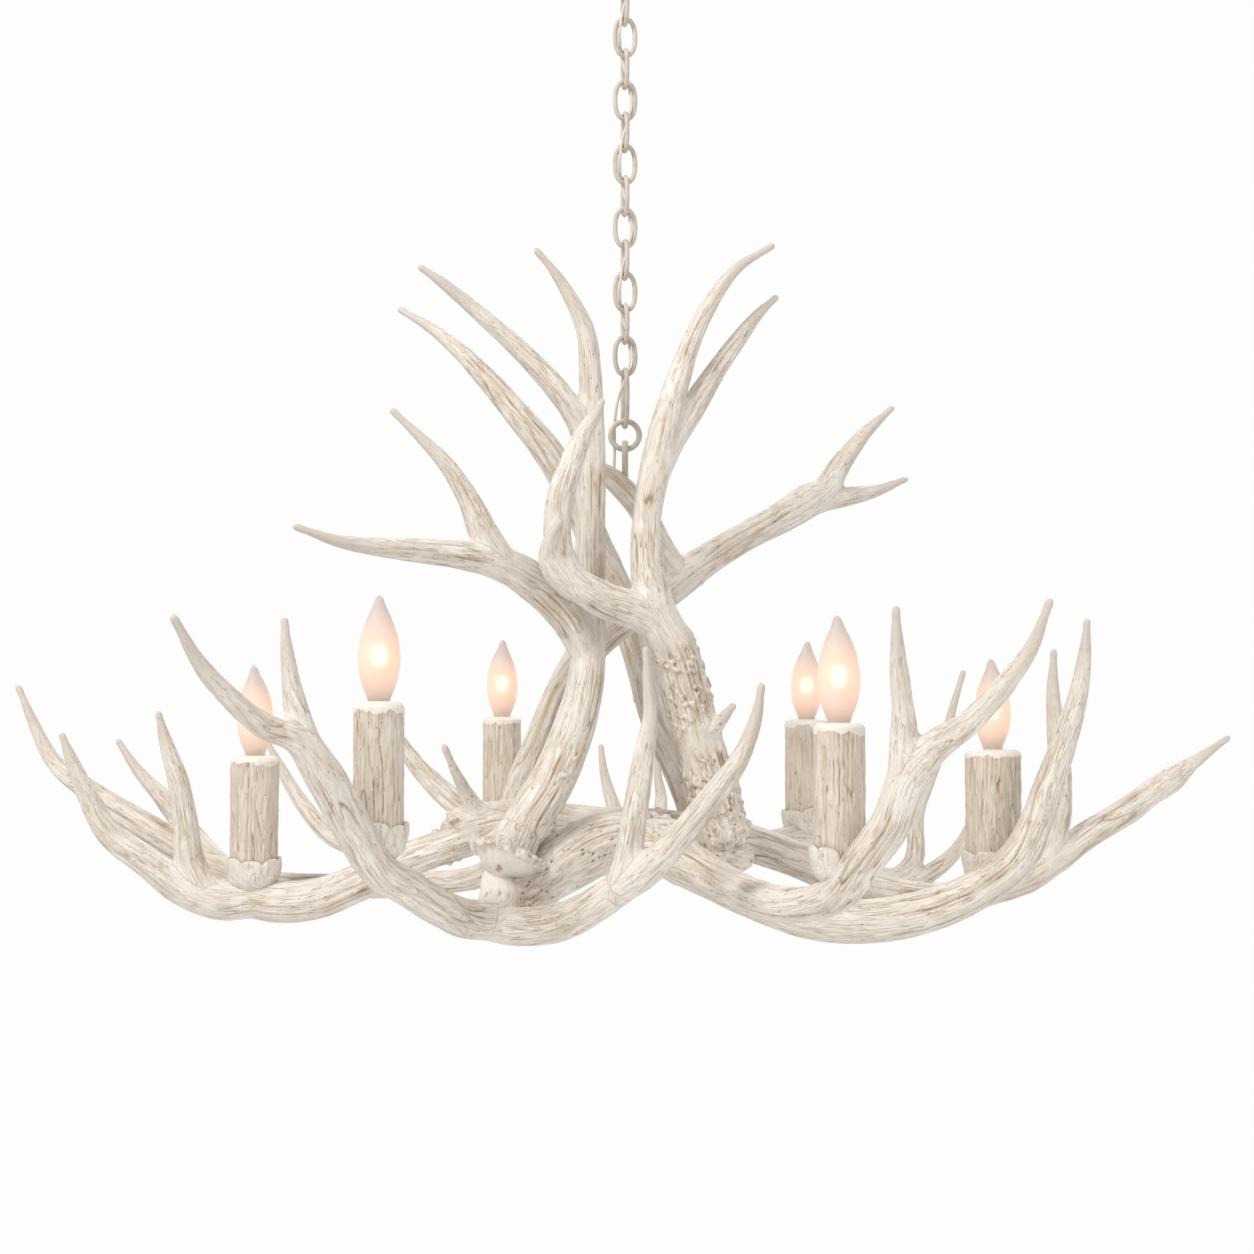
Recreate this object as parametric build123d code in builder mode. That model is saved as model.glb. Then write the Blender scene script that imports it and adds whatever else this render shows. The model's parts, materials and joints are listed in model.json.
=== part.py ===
from build123d import *
from math import cos, pi, radians, sin, tan
import os

os.makedirs("parts", exist_ok=True)

# Antler chandelier, in millimetres. The origin is the centre of the ceiling plate's face,
# +Z is up, and the viewer of the front stands on the -Y side.

# ---- ceiling set -------------------------------------------------------------------------
canopy_radius = 65.0
canopy_height = 28.0
canopy_wall = 1.5
canopy_rim = 5.0  # the straight rim under the ceiling
canopy_floor_radius = 14.9  # of the flat round the stem
canopy_shoulder_radius = 46.8  # where the canopy's curve is at its shoulder
canopy_shoulder_height = 20.7
strap_width = 22.0
strap_corner = 4.0
strap_thickness = 2.5
slot_spacing = 88.9  # the screw spacing of a ceiling outlet box
slot_length = 14.0
slot_width = 4.8
slot_margin = 4.55  # metal left beyond each slot
stem_radius = 4.9
stem_below_ceiling = 0.5
stem_bore_radius = 2.7
stem_clearance = 0.1
lock_nut_across = 16.0
lock_nut_height = 4.5
canopy_nut_radius = 10.0
canopy_nut_height = 6.0
canopy_nut_chamfer = 1.5
loop_radius = 10.0  # centre line of the canopy's hanging loop
loop_wire = 5.0
loop_boss_radius = 6.5
loop_boss_height = 4.4
loop_tuck = 1.0  # how far the loop's crown stands up inside the canopy nut

# ---- chain and hanging hardware ----------------------------------------------------------
link_count = 12
link_length = 37.0
link_width = 21.5
link_wire = 4.2
long_link_length = 54.4
ring_radius = 12.8  # centre line
ring_wire = 5.8
eye_length = 33.0
eye_width = 20.0
eye_wire = 5.5
eye_screw_radius = 3.0
eye_screw_length = 20.0
eye_shank_root = 3.3  # how far the screw's shank reaches up into the eye's wire
eye_spot_radius = 6.5  # of the flat milled under the eye
eye_spot_height = 16.5
screw_clearance = 0.1
hanging_gap = 0.3  # between two wires that hang in each other
hub_drop = 339.5  # from the ring's lowest wire down to the hub centre

# ---- supply cord -------------------------------------------------------------------------
cord_diameter = 2.6
cord_hole_radius = 1.7
cord_hole_depth = 30.0
cord_weave = 4.6  # how far the cord swings out beside the chain's axis

# ---- candles -----------------------------------------------------------------------------
seat_rise = 0.6  # height of the flat seat over the arm's centre line, as a share of its radius
cup_height = 24.0
cup_taper = 3.5  # how much narrower the cup's foot is than the sleeve
cup_wall = 2.0  # outside the foot of the sleeve
cup_lip = 2.8  # how far the lip stands outside the sleeve
petals = 7
petal_notch = 2.6  # radius of the dip between two petals
petal_dip = 0.8  # how far the dip's axis lies over the lip
petal_twist = 20.0  # degrees from one cup's petals to the next one's
cup_clearance = 1.0  # round the cup, and under the nipple, in the arm
seat_headroom = 30.0  # how far the seat's cut goes on over the cup
sleeve_length = 98.0
sleeve_depth = 10.0  # how deep the sleeve stands in its cup
sleeve_fit = 0.2
sleeve_bore_radius = 13.5
sleeve_mouth_radius = 12.0
sleeve_rim = 5.0
sleeve_chamfer = 3.0
groove_radius = 1.1
groove_offset = 0.33  # how far a groove's axis lies outside the sleeve
groove_count = 16
groove_twist = 9.0  # degrees from one sleeve's grooves to the next one's
socket_radius = 9.5
socket_length = 46.0
socket_below_rim = 6.0
socket_bore_radius = 6.4
socket_bore_depth = 24.0
nipple_radius = 4.8
nipple_hole_radius = 5.0
nipple_depth = 7.0  # below the seat
bulb_radius = 15.8
bulb_length = 82.0
bulb_neck_radius = 8.6
bulb_tip_radius = 0.8
bulb_sunk = 4.0  # below the sleeve's rim
# The flame's outline between its neck and its tip, as shares of the bulb's radius and length.
FLAME = ((0.86, 0.20), (1.0, 0.42), (0.70, 0.68), (0.27, 0.87))
glass_wall = 0.9
base_radius = 6.1
base_length = 20.0
contact_radius = 2.7
contact_height = 2.4
base_cone = 2.6  # height of the taper over the contact

# Each candle: its arm, its place with the height of the arm's centre line over the hub centre,
# the arm's radius there, and the sleeve's radius. The sleeves were modelled by hand, so they differ.
CANDLES = {
    1: ("lower_front_antler", (-180, -264, -3), 13.5, 18.5),
    2: ("lower_left_antler", (-320, 0, -49), 18, 20.5),
    3: ("lower_rear_left_antler", (-125, 296, -11), 13, 19.5),
    4: ("lower_rear_right_antler", (181, 262, -14), 13.5, 22),
    5: ("lower_front_right_antler", (155, -281, -19), 14, 19),
    6: ("lower_far_right_antler", (318, 0, -41), 13.5, 24),
}


def under(number, dy=0.0):
    """The station of an arm under its candle, or dy beside it."""
    _, (x, y, z), arm_radius, _ = CANDLES[number]
    return (x, y + dy, z, arm_radius)


# Antlers, as branches of stations (x, y, z, radius) measured from the hub centre. The first
# branch is the beam, from its butt in the hub outwards, and each other one is a tine.
HUB = [
    [(-97, -97, -46, 14), (-93, -94, -43, 18), (-78, -85, -32, 22), (-50, -72, -14, 25),
     (-17, -58, 2, 25), (25, -50, 3, 21), (58, -50, -4, 19), (84, -50, -8, 15)],
    [(-147, -32, 14, 12), (-142, -31, 15, 18), (-130, -27, 16, 22), (-112, -24, 17, 20),
     (-82, -15, 12, 24), (-22, 0, 4, 26), (31, 10, 3, 24), (72, 22, 1, 20), (88, 26, 0, 16)],
    [(-120, -28, 26, 10), (-130, -34, 44, 6), (-138, -40, 62, 4), (-147, -45, 76, 2.2)],
    [(-20, -40, 0, 24), (-20, 10, 0, 24)],
]
ANTLERS = {
    "upper_front_left_antler": [
        [(-95, -106, -22, 15), (-92, -103, -15, 22), (-86, -98, 0, 23), (-79, -94, 14, 20),
         (-62, -82, 50, 18), (-43, -68, 96, 17.5), (-33, -58, 137, 15.5), (-30, -52, 188, 14),
         (-29, -50, 255, 12.5), (-29, -51, 331, 13), (-29, -54, 385, 10), (-33, -62, 430, 8),
         (-47, -71, 460, 6), (-62, -78, 482, 3.5), (-72, -82, 493, 2.4)],
        [(-29, -51, 330, 12), (-42, -55, 362, 11), (-68, -62, 394, 9.5), (-98, -70, 423, 8),
         (-130, -80, 450, 6), (-152, -88, 467, 4.5), (-167, -92, 477, 2.4)],
        [(-32, -56, 160, 14), (-50, -66, 194, 16.5), (-74, -80, 217, 16), (-102, -98, 232, 14.5),
         (-133, -120, 237, 12), (-165, -140, 239, 10), (-195, -160, 240, 7.5), (-223, -176, 243, 5),
         (-252, -190, 252, 2.4)],
        [(-100, -98, 232, 13), (-115, -108, 256, 12), (-127, -113, 283, 9.5), (-144, -118, 310, 7),
         (-165, -122, 332, 4.5), (-186, -124, 352, 2.4)],
    ],
    "upper_front_right_antler": [
        [(84, -55, -3, 16), (82, -55, 3, 22), (78, -56, 20, 22), (74, -58, 45, 20), (64, -62, 83, 19),
         (54, -66, 120, 18.5), (43, -72, 158, 18.5), (26, -80, 192, 17.5), (18, -77, 232, 13.5),
         (19, -70, 278, 12), (26, -66, 316, 13.5), (39, -62, 371, 11.5), (53, -58, 415, 8.5),
         (71, -55, 454, 7), (95, -52, 487, 4.5), (123, -48, 506, 2.4)],
        [(31, -77, 183, 16), (6, -86, 195, 15.5), (-20, -95, 204, 14.5), (-43, -103, 219, 13),
         (-54, -106, 244, 12), (-53, -105, 283, 11), (-46, -102, 308, 10), (-35, -99, 336, 8),
         (-24, -96, 356, 5), (-20, -95, 364, 3)],
        [(-42, -102, 210, 10), (-57, -112, 221, 8.5), (-64, -116, 235, 6.5), (-61, -119, 250, 5),
         (-53, -121, 263, 2.4)],
        [(25, -66, 304, 11), (39, -56, 339, 11.5), (55, -49, 365, 11), (74, -42, 396, 9),
         (96, -36, 428, 7), (115, -30, 453, 4.5), (128, -26, 466, 2.4)],
        [(62, -66, 84, 9), (77, -74, 100, 6), (89, -80, 115, 3)],
    ],
    "upper_rear_left_antler": [
        [(-92, 6, 24, 18), (-87, 10, 42, 18), (-70, 8, 88, 16.5), (-53, 2, 130, 15.5),
         (-32, -4, 165, 15.5), (-9, -4, 187, 16.5), (20, 0, 208, 17.5), (48, 8, 228, 16.5),
         (72, 18, 245, 14), (106, 36, 267, 13), (143, 55, 288, 14.5), (166, 65, 303, 16),
         (180, 71, 311, 13), (197, 78, 338, 9.5), (217, 83, 364, 6.5), (243, 90, 389, 2.4)],
        [(160, 62, 298, 14), (178, 71, 304, 12), (200, 81, 308, 9.5), (228, 93, 314, 6),
         (257, 105, 326, 2.6)],
        [(44, 6, 230, 14), (30, 3, 256, 12), (13, 0, 288, 11), (-11, 0, 314, 9.5), (-32, 0, 326, 7),
         (-50, 0, 334, 4)],
    ],
    "upper_rear_right_antler": [
        [(68, 28, 8, 16), (67, 33, 18, 18), (53, 38, 53, 16.5), (28, 42, 111, 16), (13, 41, 162, 15),
         (-4, 40, 211, 15), (-24, 40, 255, 14.5), (-43, 41, 297, 14), (-68, 43, 342, 13.5),
         (-98, 47, 380, 12), (-129, 52, 416, 9.5), (-166, 60, 452, 6), (-203, 72, 477, 2.4)],
    ],
    "lower_front_antler": [
        [(-102, -90, -24, 15), (-101, -102, -38, 17), (-104, -122, -52, 17), (-121, -155, -52, 16),
         (-142, -200, -38, 14.5), (-163, -242, -19, 14), under(1, dy=-12), (-196, -306, 33, 14.5),
         (-212, -330, 68, 13.5), (-226, -344, 90, 11), (-246, -358, 99, 9), (-266, -378, 118, 7.5),
         (-283, -394, 140, 5.5), (-296, -411, 168, 2.4)],
        [(-218, -336, 78, 11), (-226, -341, 104, 9.5), (-231, -340, 127, 7), (-235, -338, 152, 4.5),
         (-237, -336, 170, 2.4)],
        [(-116, -142, -54, 14), (-88, -134, -60, 15.5), (-55, -148, -56, 15.5), (-23, -178, -39, 14),
         (0, -200, -21, 13.5), (18, -213, -8, 12.5), (38, -226, 13, 10.5), (65, -242, 46, 9.5),
         (86, -252, 77, 7), (97, -258, 107, 4.5), (100, -262, 126, 2.2)],
        [(-4, -198, -26, 12), (4, -208, 8, 10.5), (8, -212, 35, 10), (14, -216, 73, 8.5),
         (19, -220, 107, 6), (17, -224, 137, 3.8), (16, -226, 154, 2.2)],
    ],
    "lower_left_antler": [
        [(-100, -38, 14, 13), (-144, -46, 0, 14.5), (-182, -38, -13, 15), (-222, -26, -32, 16),
         (-262, -12, -48, 17.5), (-296, -4, -52, 18), under(2), (-350, -2, -50, 17.5),
         (-378, -6, -40, 16), (-409, -12, -18, 12.5), (-440, -18, 7, 11), (-459, -24, 42, 8.5),
         (-472, -30, 75, 5), (-477, -32, 89, 2.4)],
        [(-362, -4, -44, 14), (-374, -8, -15, 13), (-377, -14, 22, 10.5), (-383, -20, 57, 9),
         (-392, -26, 88, 5.5), (-396, -30, 107, 2.4)],
    ],
    "lower_far_left_antler": [
        [(-92, -2, 2, 11), (-108, 18, -18, 11.5), (-130, 33, -33, 10.5), (-182, 42, -40, 10.5),
         (-254, 52, -43, 11.5), (-323, 62, -41, 12.5), (-374, 68, -24, 14), (-420, 74, 2, 13),
         (-476, 80, 35, 10.5), (-518, 84, 67, 7.5), (-541, 88, 108, 4.5), (-552, 90, 132, 2.4)],
        [(-362, 67, -28, 12), (-395, 84, 4, 10.5), (-423, 96, 35, 8), (-448, 104, 60, 5),
         (-465, 110, 83, 2.6)],
    ],
    "lower_rear_left_antler": [
        [(-62, 5, 2, 13), (-72, 60, -10, 13.5), (-88, 130, -17, 13), (-106, 220, -19, 12.5), under(3),
         (-150, 325, 2, 13), (-182, 340, 25, 12), (-214, 350, 55, 9.5), (-241, 356, 93, 6),
         (-250, 358, 114, 2.6)],
        [(-134, 306, -10, 11), (-188, 330, -26, 10.5), (-249, 342, -30, 10), (-303, 350, -16, 9.5),
         (-335, 355, 16, 8), (-360, 360, 55, 5.5), (-375, 364, 82, 2.6)],
    ],
    "lower_rear_antler": [
        [(-2, 8, 2, 14), (4, 70, -10, 14), (8, 140, -20, 14), (12, 230, -30, 13.5), (16, 298, -28, 12),
         (31, 328, -3, 9), (37, 336, 22, 6.5), (34, 340, 45, 4.5), (33, 342, 64, 2.6)],
        [(13, 284, -30, 11), (-3, 310, -7, 9), (-14, 322, 23, 7), (-22, 328, 52, 4.5),
         (-25, 332, 76, 2.6)],
    ],
    "lower_front_right_antler": [
        [(10, -62, 2, 18), (30, -88, 0, 17.5), (56, -116, -12, 15.5), (88, -168, -28, 14),
         (119, -228, -34, 13.5), (141, -264, -29, 13.5), under(5, dy=-7), (171, -318, 8, 14),
         (186, -334, 33, 14), (197, -343, 64, 14.5), (212, -352, 84, 11.5), (236, -362, 102, 8.5),
         (259, -371, 128, 7), (275, -378, 152, 5), (285, -386, 180, 2.2)],
        [(194, -341, 56, 13), (193, -348, 90, 10), (191, -354, 113, 7.5), (188, -359, 138, 6.5),
         (186, -364, 158, 4.5), (185, -368, 176, 2.4)],
    ],
    "lower_right_antler": [
        [(20, -8, -2, 15), (38, -22, -16, 15.5), (66, -30, -29, 15.5), (115, -34, -51, 16),
         (165, -38, -64, 18), (220, -42, -63, 18.5), (270, -45, -50, 17.5), (306, -47, -31, 16),
         (329, -50, -10, 15.5), (344, -54, 20, 14), (355, -60, 54, 12.5), (367, -66, 91, 10.5),
         (377, -72, 129, 8), (381, -77, 162, 5), (382, -80, 183, 2.4)],
    ],
    "lower_far_right_antler": [
        [(72, 22, 2, 16), (101, 23, -1, 16.5), (149, 18, -17, 16), (196, 10, -37, 15),
         (243, 4, -48, 14), (282, 0, -49, 14), under(6), (345, 2, -32, 13.5), (370, 6, -17, 13),
         (402, 16, 4, 12), (445, 28, 28, 12), (478, 36, 51, 10.5), (502, 42, 66, 6.5),
         (535, 52, 87, 2.4)],
        [(362, 5, -20, 11.5), (374, 4, 17, 11.5), (377, 3, 52, 10), (373, 2, 95, 8), (371, 2, 130, 5.5),
         (372, 2, 161, 2.4)],
        [(462, 33, 38, 9), (482, 38, 46, 7.5), (495, 42, 54, 5), (501, 44, 58, 3)],
    ],
    "lower_rear_right_antler": [
        [(34, 18, -2, 13), (56, 75, -12, 14), (88, 135, -14, 14.5), (132, 205, -16, 14), under(4),
         (227, 281, -40, 13), (266, 289, -56, 13), (290, 295, -40, 10), (296, 300, 11, 7.5),
         (309, 304, 44, 6.5), (324, 308, 80, 5.5), (336, 312, 121, 4), (346, 315, 152, 2.4)],
        [(262, 288, -56, 12), (290, 295, -56, 11), (314, 301, -46, 9), (334, 306, -30, 7.5),
         (352, 312, -4, 6), (367, 318, 27, 4), (376, 322, 54, 2.4)],
    ],
}
TIP_ROUNDING = ((0.6, 0.8), (0.95, 0.3))  # reach beyond a tip's last station and radius, in its radii
EYE_ANTLER = "upper_rear_left_antler"  # its inner tine carries the hanging eye
CROSSING_ANTLER = "lower_front_antler"  # it is notched where it crosses the next one's butt
CROSSED_ANTLER = "upper_front_left_antler"

# ---- levels worked out from the sizes above ----------------------------------------------
strap_length = slot_spacing + slot_length + 2 * slot_margin
stem_hole_radius = stem_radius + stem_clearance
loop_z = -canopy_height - canopy_nut_height - loop_radius - loop_wire / 2 + loop_tuck
link_pitch = link_length - 2 * link_wire - hanging_gap
first_link_z = (loop_z - loop_radius + (loop_wire + link_wire) / 2 + hanging_gap
                - (link_length - link_wire) / 2)
last_link_z = first_link_z - (link_count - 1) * link_pitch
long_link_z = last_link_z - (link_length + long_link_length) / 2 + 2 * link_wire + hanging_gap
ring_z = (long_link_z - (long_link_length - link_wire) / 2
          + (ring_wire + link_wire) / 2 + hanging_gap - ring_radius)
ring_bottom_z = ring_z - ring_radius
eye_top_z = ring_bottom_z + (ring_wire + eye_wire) / 2 + hanging_gap + eye_wire / 2
eye_bottom_z = eye_top_z - eye_length
hub_z = ring_bottom_z - hub_drop


def save(builder, name):
    """Labels a finished piece and writes it."""
    builder.part.label = name
    export_step(builder.part, f"parts/{name}.step")


def branch(stations, base_z=0.0):
    """Lofts one round, tapering branch through its stations and rounds off its tip."""
    centres = [Vector(x, y, z + base_z) for x, y, z, _ in stations]
    spine = Spline(*centres, mode=Mode.PRIVATE)
    across = Vector(0.2, 1.0, 0.3)
    sections = []
    for centre, station in zip(centres, stations):
        along = spine.tangent_at(spine.param_at_point(centre))
        across = (across - along * across.dot(along)).normalized()
        with BuildSketch(Plane(origin=centre, x_dir=across, z_dir=along), mode=Mode.PRIVATE) as section:
            Circle(station[3])
        sections.append(section.sketch)
    tip_radius = stations[-1][3]
    for reach, share in TIP_ROUNDING:
        cap = Plane(origin=centres[-1] + along * (reach * tip_radius), x_dir=across, z_dir=along)
        with BuildSketch(cap, mode=Mode.PRIVATE) as section:
            Circle(share * tip_radius)
        sections.append(section.sketch)
    loft(sections=sections, ruled=True)


def oval_ring(centre_z, length, width, wire, turned):
    """A long ring of round wire in an upright plane, in line with X, or with Y if turned."""
    side = Vector(0, 1, 0) if turned else Vector(1, 0, 0)
    half_width = (width - wire) / 2
    bend_z = centre_z + (length - width) / 2
    middle = Vector(0, 0, centre_z)
    with BuildLine(mode=Mode.PRIVATE) as upper_half:
        Line(middle - side * half_width, Vector(0, 0, bend_z) - side * half_width)
        ThreePointArc(
            Vector(0, 0, bend_z) - side * half_width,
            Vector(0, 0, bend_z + half_width),
            Vector(0, 0, bend_z) + side * half_width,
        )
        Line(Vector(0, 0, bend_z) + side * half_width, middle + side * half_width)
    wire_plane = Plane(origin=middle - side * half_width, z_dir=(0, 0, 1))
    with BuildSketch(wire_plane, mode=Mode.PRIVATE) as section:
        Circle(wire / 2)
    sweep(sections=section.sketch, path=upper_half.line)
    mirror(about=Plane.XY.offset(centre_z))


def seat_height(number):
    """The flat seat milled on the arm under a candle."""
    _, (_, _, z), arm_radius, _ = CANDLES[number]
    return hub_z + z + seat_rise * arm_radius


def upright(x, y, z):
    """The upright plane through a point in which round pieces are drawn before they are revolved."""
    return Plane(origin=(x, y, z), x_dir=(1, 0, 0), z_dir=(0, -1, 0))


# ---- ceiling set -------------------------------------------------------------------------
with BuildPart() as strap:
    with BuildSketch(Plane.XY.offset(-strap_thickness)):
        RectangleRounded(strap_length, strap_width, strap_corner)
        Circle(stem_hole_radius, mode=Mode.SUBTRACT)
        with Locations((-slot_spacing / 2, 0), (slot_spacing / 2, 0)):
            SlotOverall(slot_length, slot_width, mode=Mode.SUBTRACT)
    extrude(amount=strap_thickness)
save(strap, "ceiling_strap")

with BuildPart() as canopy:
    with BuildSketch(Plane.XZ):
        with BuildLine():
            outer = Spline(
                (canopy_radius, -canopy_rim),
                (canopy_shoulder_radius, -canopy_shoulder_height),
                (canopy_floor_radius, -canopy_height),
                tangents=((0, -1), (-1, 0)),
            )
            inner = Spline(
                (canopy_floor_radius, -canopy_height + canopy_wall),
                (canopy_shoulder_radius - 0.7 * canopy_wall, -canopy_shoulder_height + 1.2 * canopy_wall),
                (canopy_radius - canopy_wall, -canopy_rim),
                tangents=((1, 0), (0, 1)),
            )
            Polyline(
                outer @ 1,
                (stem_hole_radius, -canopy_height),
                (stem_hole_radius, -canopy_height + canopy_wall),
                inner @ 0,
            )
            Polyline(inner @ 1, (canopy_radius - canopy_wall, 0), (canopy_radius, 0), outer @ 0)
        make_face()
    revolve(axis=Axis.Z)
save(canopy, "canopy")

with BuildPart() as lock_nut:
    with BuildSketch(Plane.XY.offset(-strap_thickness - lock_nut_height)):
        RegularPolygon(lock_nut_across / 2, 6, major_radius=False)
        Circle(stem_hole_radius, mode=Mode.SUBTRACT)
    extrude(amount=lock_nut_height)
save(lock_nut, "stem_lock_nut")

with BuildPart() as canopy_nut:
    with BuildSketch(Plane.XY.offset(-canopy_height - canopy_nut_height)):
        Circle(canopy_nut_radius)
        Circle(stem_hole_radius, mode=Mode.SUBTRACT)
    extrude(amount=canopy_nut_height)
    chamfer(canopy_nut.edges().group_by(Axis.Z)[0].sort_by(SortBy.LENGTH)[-1], canopy_nut_chamfer)
save(canopy_nut, "canopy_nut")

with BuildPart() as canopy_loop:
    with BuildSketch(Plane.XY.offset(-stem_below_ceiling)):
        Circle(stem_radius)
    extrude(amount=loop_z + loop_radius + stem_below_ceiling)
    with BuildSketch(Plane.XY.offset(-canopy_height - canopy_nut_height)):
        Circle(loop_boss_radius)
    extrude(amount=-loop_boss_height)
    with Locations(Location((0, 0, loop_z), (90, 0, 0))):
        Torus(loop_radius, loop_wire / 2)
    with BuildSketch():
        Circle(stem_bore_radius)
    extrude(amount=loop_z + loop_radius - loop_wire / 2 - loop_tuck, mode=Mode.SUBTRACT)
save(canopy_loop, "canopy_loop")

# ---- chain, ring and eye -----------------------------------------------------------------
for number in range(1, link_count + 1):
    with BuildPart() as link:
        oval_ring(
            first_link_z - (number - 1) * link_pitch,
            link_length,
            link_width,
            link_wire,
            turned=number % 2 == 1,
        )
    save(link, f"chain_link_{number:02d}")

with BuildPart() as long_link:
    oval_ring(long_link_z, long_link_length, link_width, link_wire, turned=True)
save(long_link, "long_link")

with BuildPart() as hanging_ring:
    with Locations(Location((0, 0, ring_z), (90, 0, 0))):
        Torus(ring_radius, ring_wire / 2)
save(hanging_ring, "hanging_ring")

with BuildPart() as hanging_eye:
    oval_ring(eye_top_z - eye_length / 2, eye_length, eye_width, eye_wire, turned=True)
    with Locations((0, 0, eye_bottom_z + eye_shank_root)):
        Cylinder(eye_screw_radius, eye_screw_length, align=(Align.CENTER, Align.CENTER, Align.MAX))
save(hanging_eye, "hanging_eye")

# ---- supply cord -------------------------------------------------------------------------
# Out of the canopy's stem, in and out of the chain, behind the ring and into the inner tine.
level = [first_link_z + link_pitch / 2 - step * link_pitch for step in range(link_count + 1)]
CORD_ROUTE = [
    (0.0, 0.0, loop_z + loop_radius + 22),
    (0.3, -0.3, loop_z + loop_radius - 5),
    (4.4, -4.4, level[0]),
    (-cord_weave, -4.4, level[1]),
    (-4.4, cord_weave, level[2]),
    (cord_weave, 4.4, level[3]),
    (4.4, -cord_weave, level[4]),
    (-cord_weave, -4.4, level[5]),
    (-4.4, 4.5, level[6]),
    (4.5, cord_weave, level[7]),
    (cord_weave, -4.4, level[8]),
    (-4.4, -cord_weave, level[9]),
    (-cord_weave, 4.4, level[10]),
    (4.4, cord_weave, level[11]),
    (4.0, -4.4, level[12]),
    (-6.0, -3.0, ring_z + 34),
    (-9.5, 5.0, ring_z + 12),
    (-9.0, 6.6, ring_z - 8),
    (-9.6, 3.6, ring_z - 27),
    (-9.2, 1.4, ring_z - 42),
]


def corner_radii(route):
    """Each corner's arc: 0.45 of its shorter run over the tangent of half the turn."""
    radii = []
    for before, corner, after in zip(route, route[1:], route[2:]):
        entering, leaving = Vector(*corner) - Vector(*before), Vector(*after) - Vector(*corner)
        half_turn = radians(entering.get_angle(leaving)) / 2
        radii.append(0.45 * min(entering.length, leaving.length) / tan(half_turn))
    return radii


cord_radii = corner_radii(CORD_ROUTE)
with BuildPart() as supply_cord:
    with BuildLine() as cord_path:
        cord_line = FilletPolyline(*CORD_ROUTE, radius=cord_radii)
    with BuildSketch(Plane(origin=cord_line @ 0, z_dir=cord_line % 0)):
        Circle(cord_diameter / 2)
    sweep(path=cord_path.line)
save(supply_cord, "supply_cord")
cord_length = cord_line.length
cord_prism = pi * cord_diameter**2 / 4 * cord_length
print("cord length", round(cord_length, 1), "radii", [round(radius, 1) for radius in cord_radii])
print("cord volume over section times length", round(supply_cord.part.volume / cord_prism, 4))

# ---- hub and antlers ---------------------------------------------------------------------
with BuildPart() as hub:
    for stations in HUB:
        branch(stations, hub_z)
save(hub, "hub_casting")

antler_parts = {}
for name, branches in ANTLERS.items():
    with BuildPart() as antler:
        for stations in branches:
            branch(stations, hub_z)
        add(hub.part, mode=Mode.SUBTRACT)
        if name == CROSSING_ANTLER:
            add(antler_parts[CROSSED_ANTLER], mode=Mode.SUBTRACT)
        for number, (arm, (x, y, _), _, sleeve_radius) in CANDLES.items():
            if arm != name:
                continue
            with Locations((x, y, seat_height(number))):
                Cylinder(
                    sleeve_radius + cup_lip + cup_clearance,
                    cup_height + seat_headroom,
                    align=(Align.CENTER, Align.CENTER, Align.MIN),
                    mode=Mode.SUBTRACT,
                )
                Cylinder(
                    nipple_hole_radius,
                    nipple_depth + cup_clearance,
                    align=(Align.CENTER, Align.CENTER, Align.MAX),
                    mode=Mode.SUBTRACT,
                )
        if name == EYE_ANTLER:
            with Locations((0, 0, eye_bottom_z)):
                Cylinder(
                    eye_spot_radius,
                    eye_spot_height,
                    align=(Align.CENTER, Align.CENTER, Align.MIN),
                    mode=Mode.SUBTRACT,
                )
                Cylinder(
                    eye_screw_radius + screw_clearance,
                    eye_screw_length,
                    align=(Align.CENTER, Align.CENTER, Align.MAX),
                    mode=Mode.SUBTRACT,
                )
            cord_end = Vector(*CORD_ROUTE[-1])
            with BuildSketch(Plane(origin=cord_end, z_dir=Vector(*CORD_ROUTE[-2]) - cord_end)):
                Circle(cord_hole_radius)
            extrude(amount=cord_hole_depth, mode=Mode.SUBTRACT)
    antler_parts[name] = antler.part
    save(antler, name)
    print(name, len(antler.part.solids()), round(antler.part.volume / 1000, 1), "cm3")

# ---- candles -----------------------------------------------------------------------------
with BuildPart() as sockets:
    for number, (_, (x, y, _), _, _) in CANDLES.items():
        seat = seat_height(number)
        socket_top = seat + cup_height - sleeve_depth + sleeve_length - socket_below_rim
        with BuildSketch(upright(x, y, 0)):
            with BuildLine():
                Polyline(
                    (0, seat - nipple_depth),
                    (nipple_radius, seat - nipple_depth),
                    (nipple_radius, socket_top - socket_length),
                    (socket_radius, socket_top - socket_length),
                    (socket_radius, socket_top),
                    (socket_bore_radius, socket_top),
                    (socket_bore_radius, socket_top - socket_bore_depth),
                    (0, socket_top - socket_bore_depth),
                    close=True,
                )
            make_face()
        revolve(axis=Axis((x, y, 0), (0, 0, 1)))
save(sockets, "candle_sockets")

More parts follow.
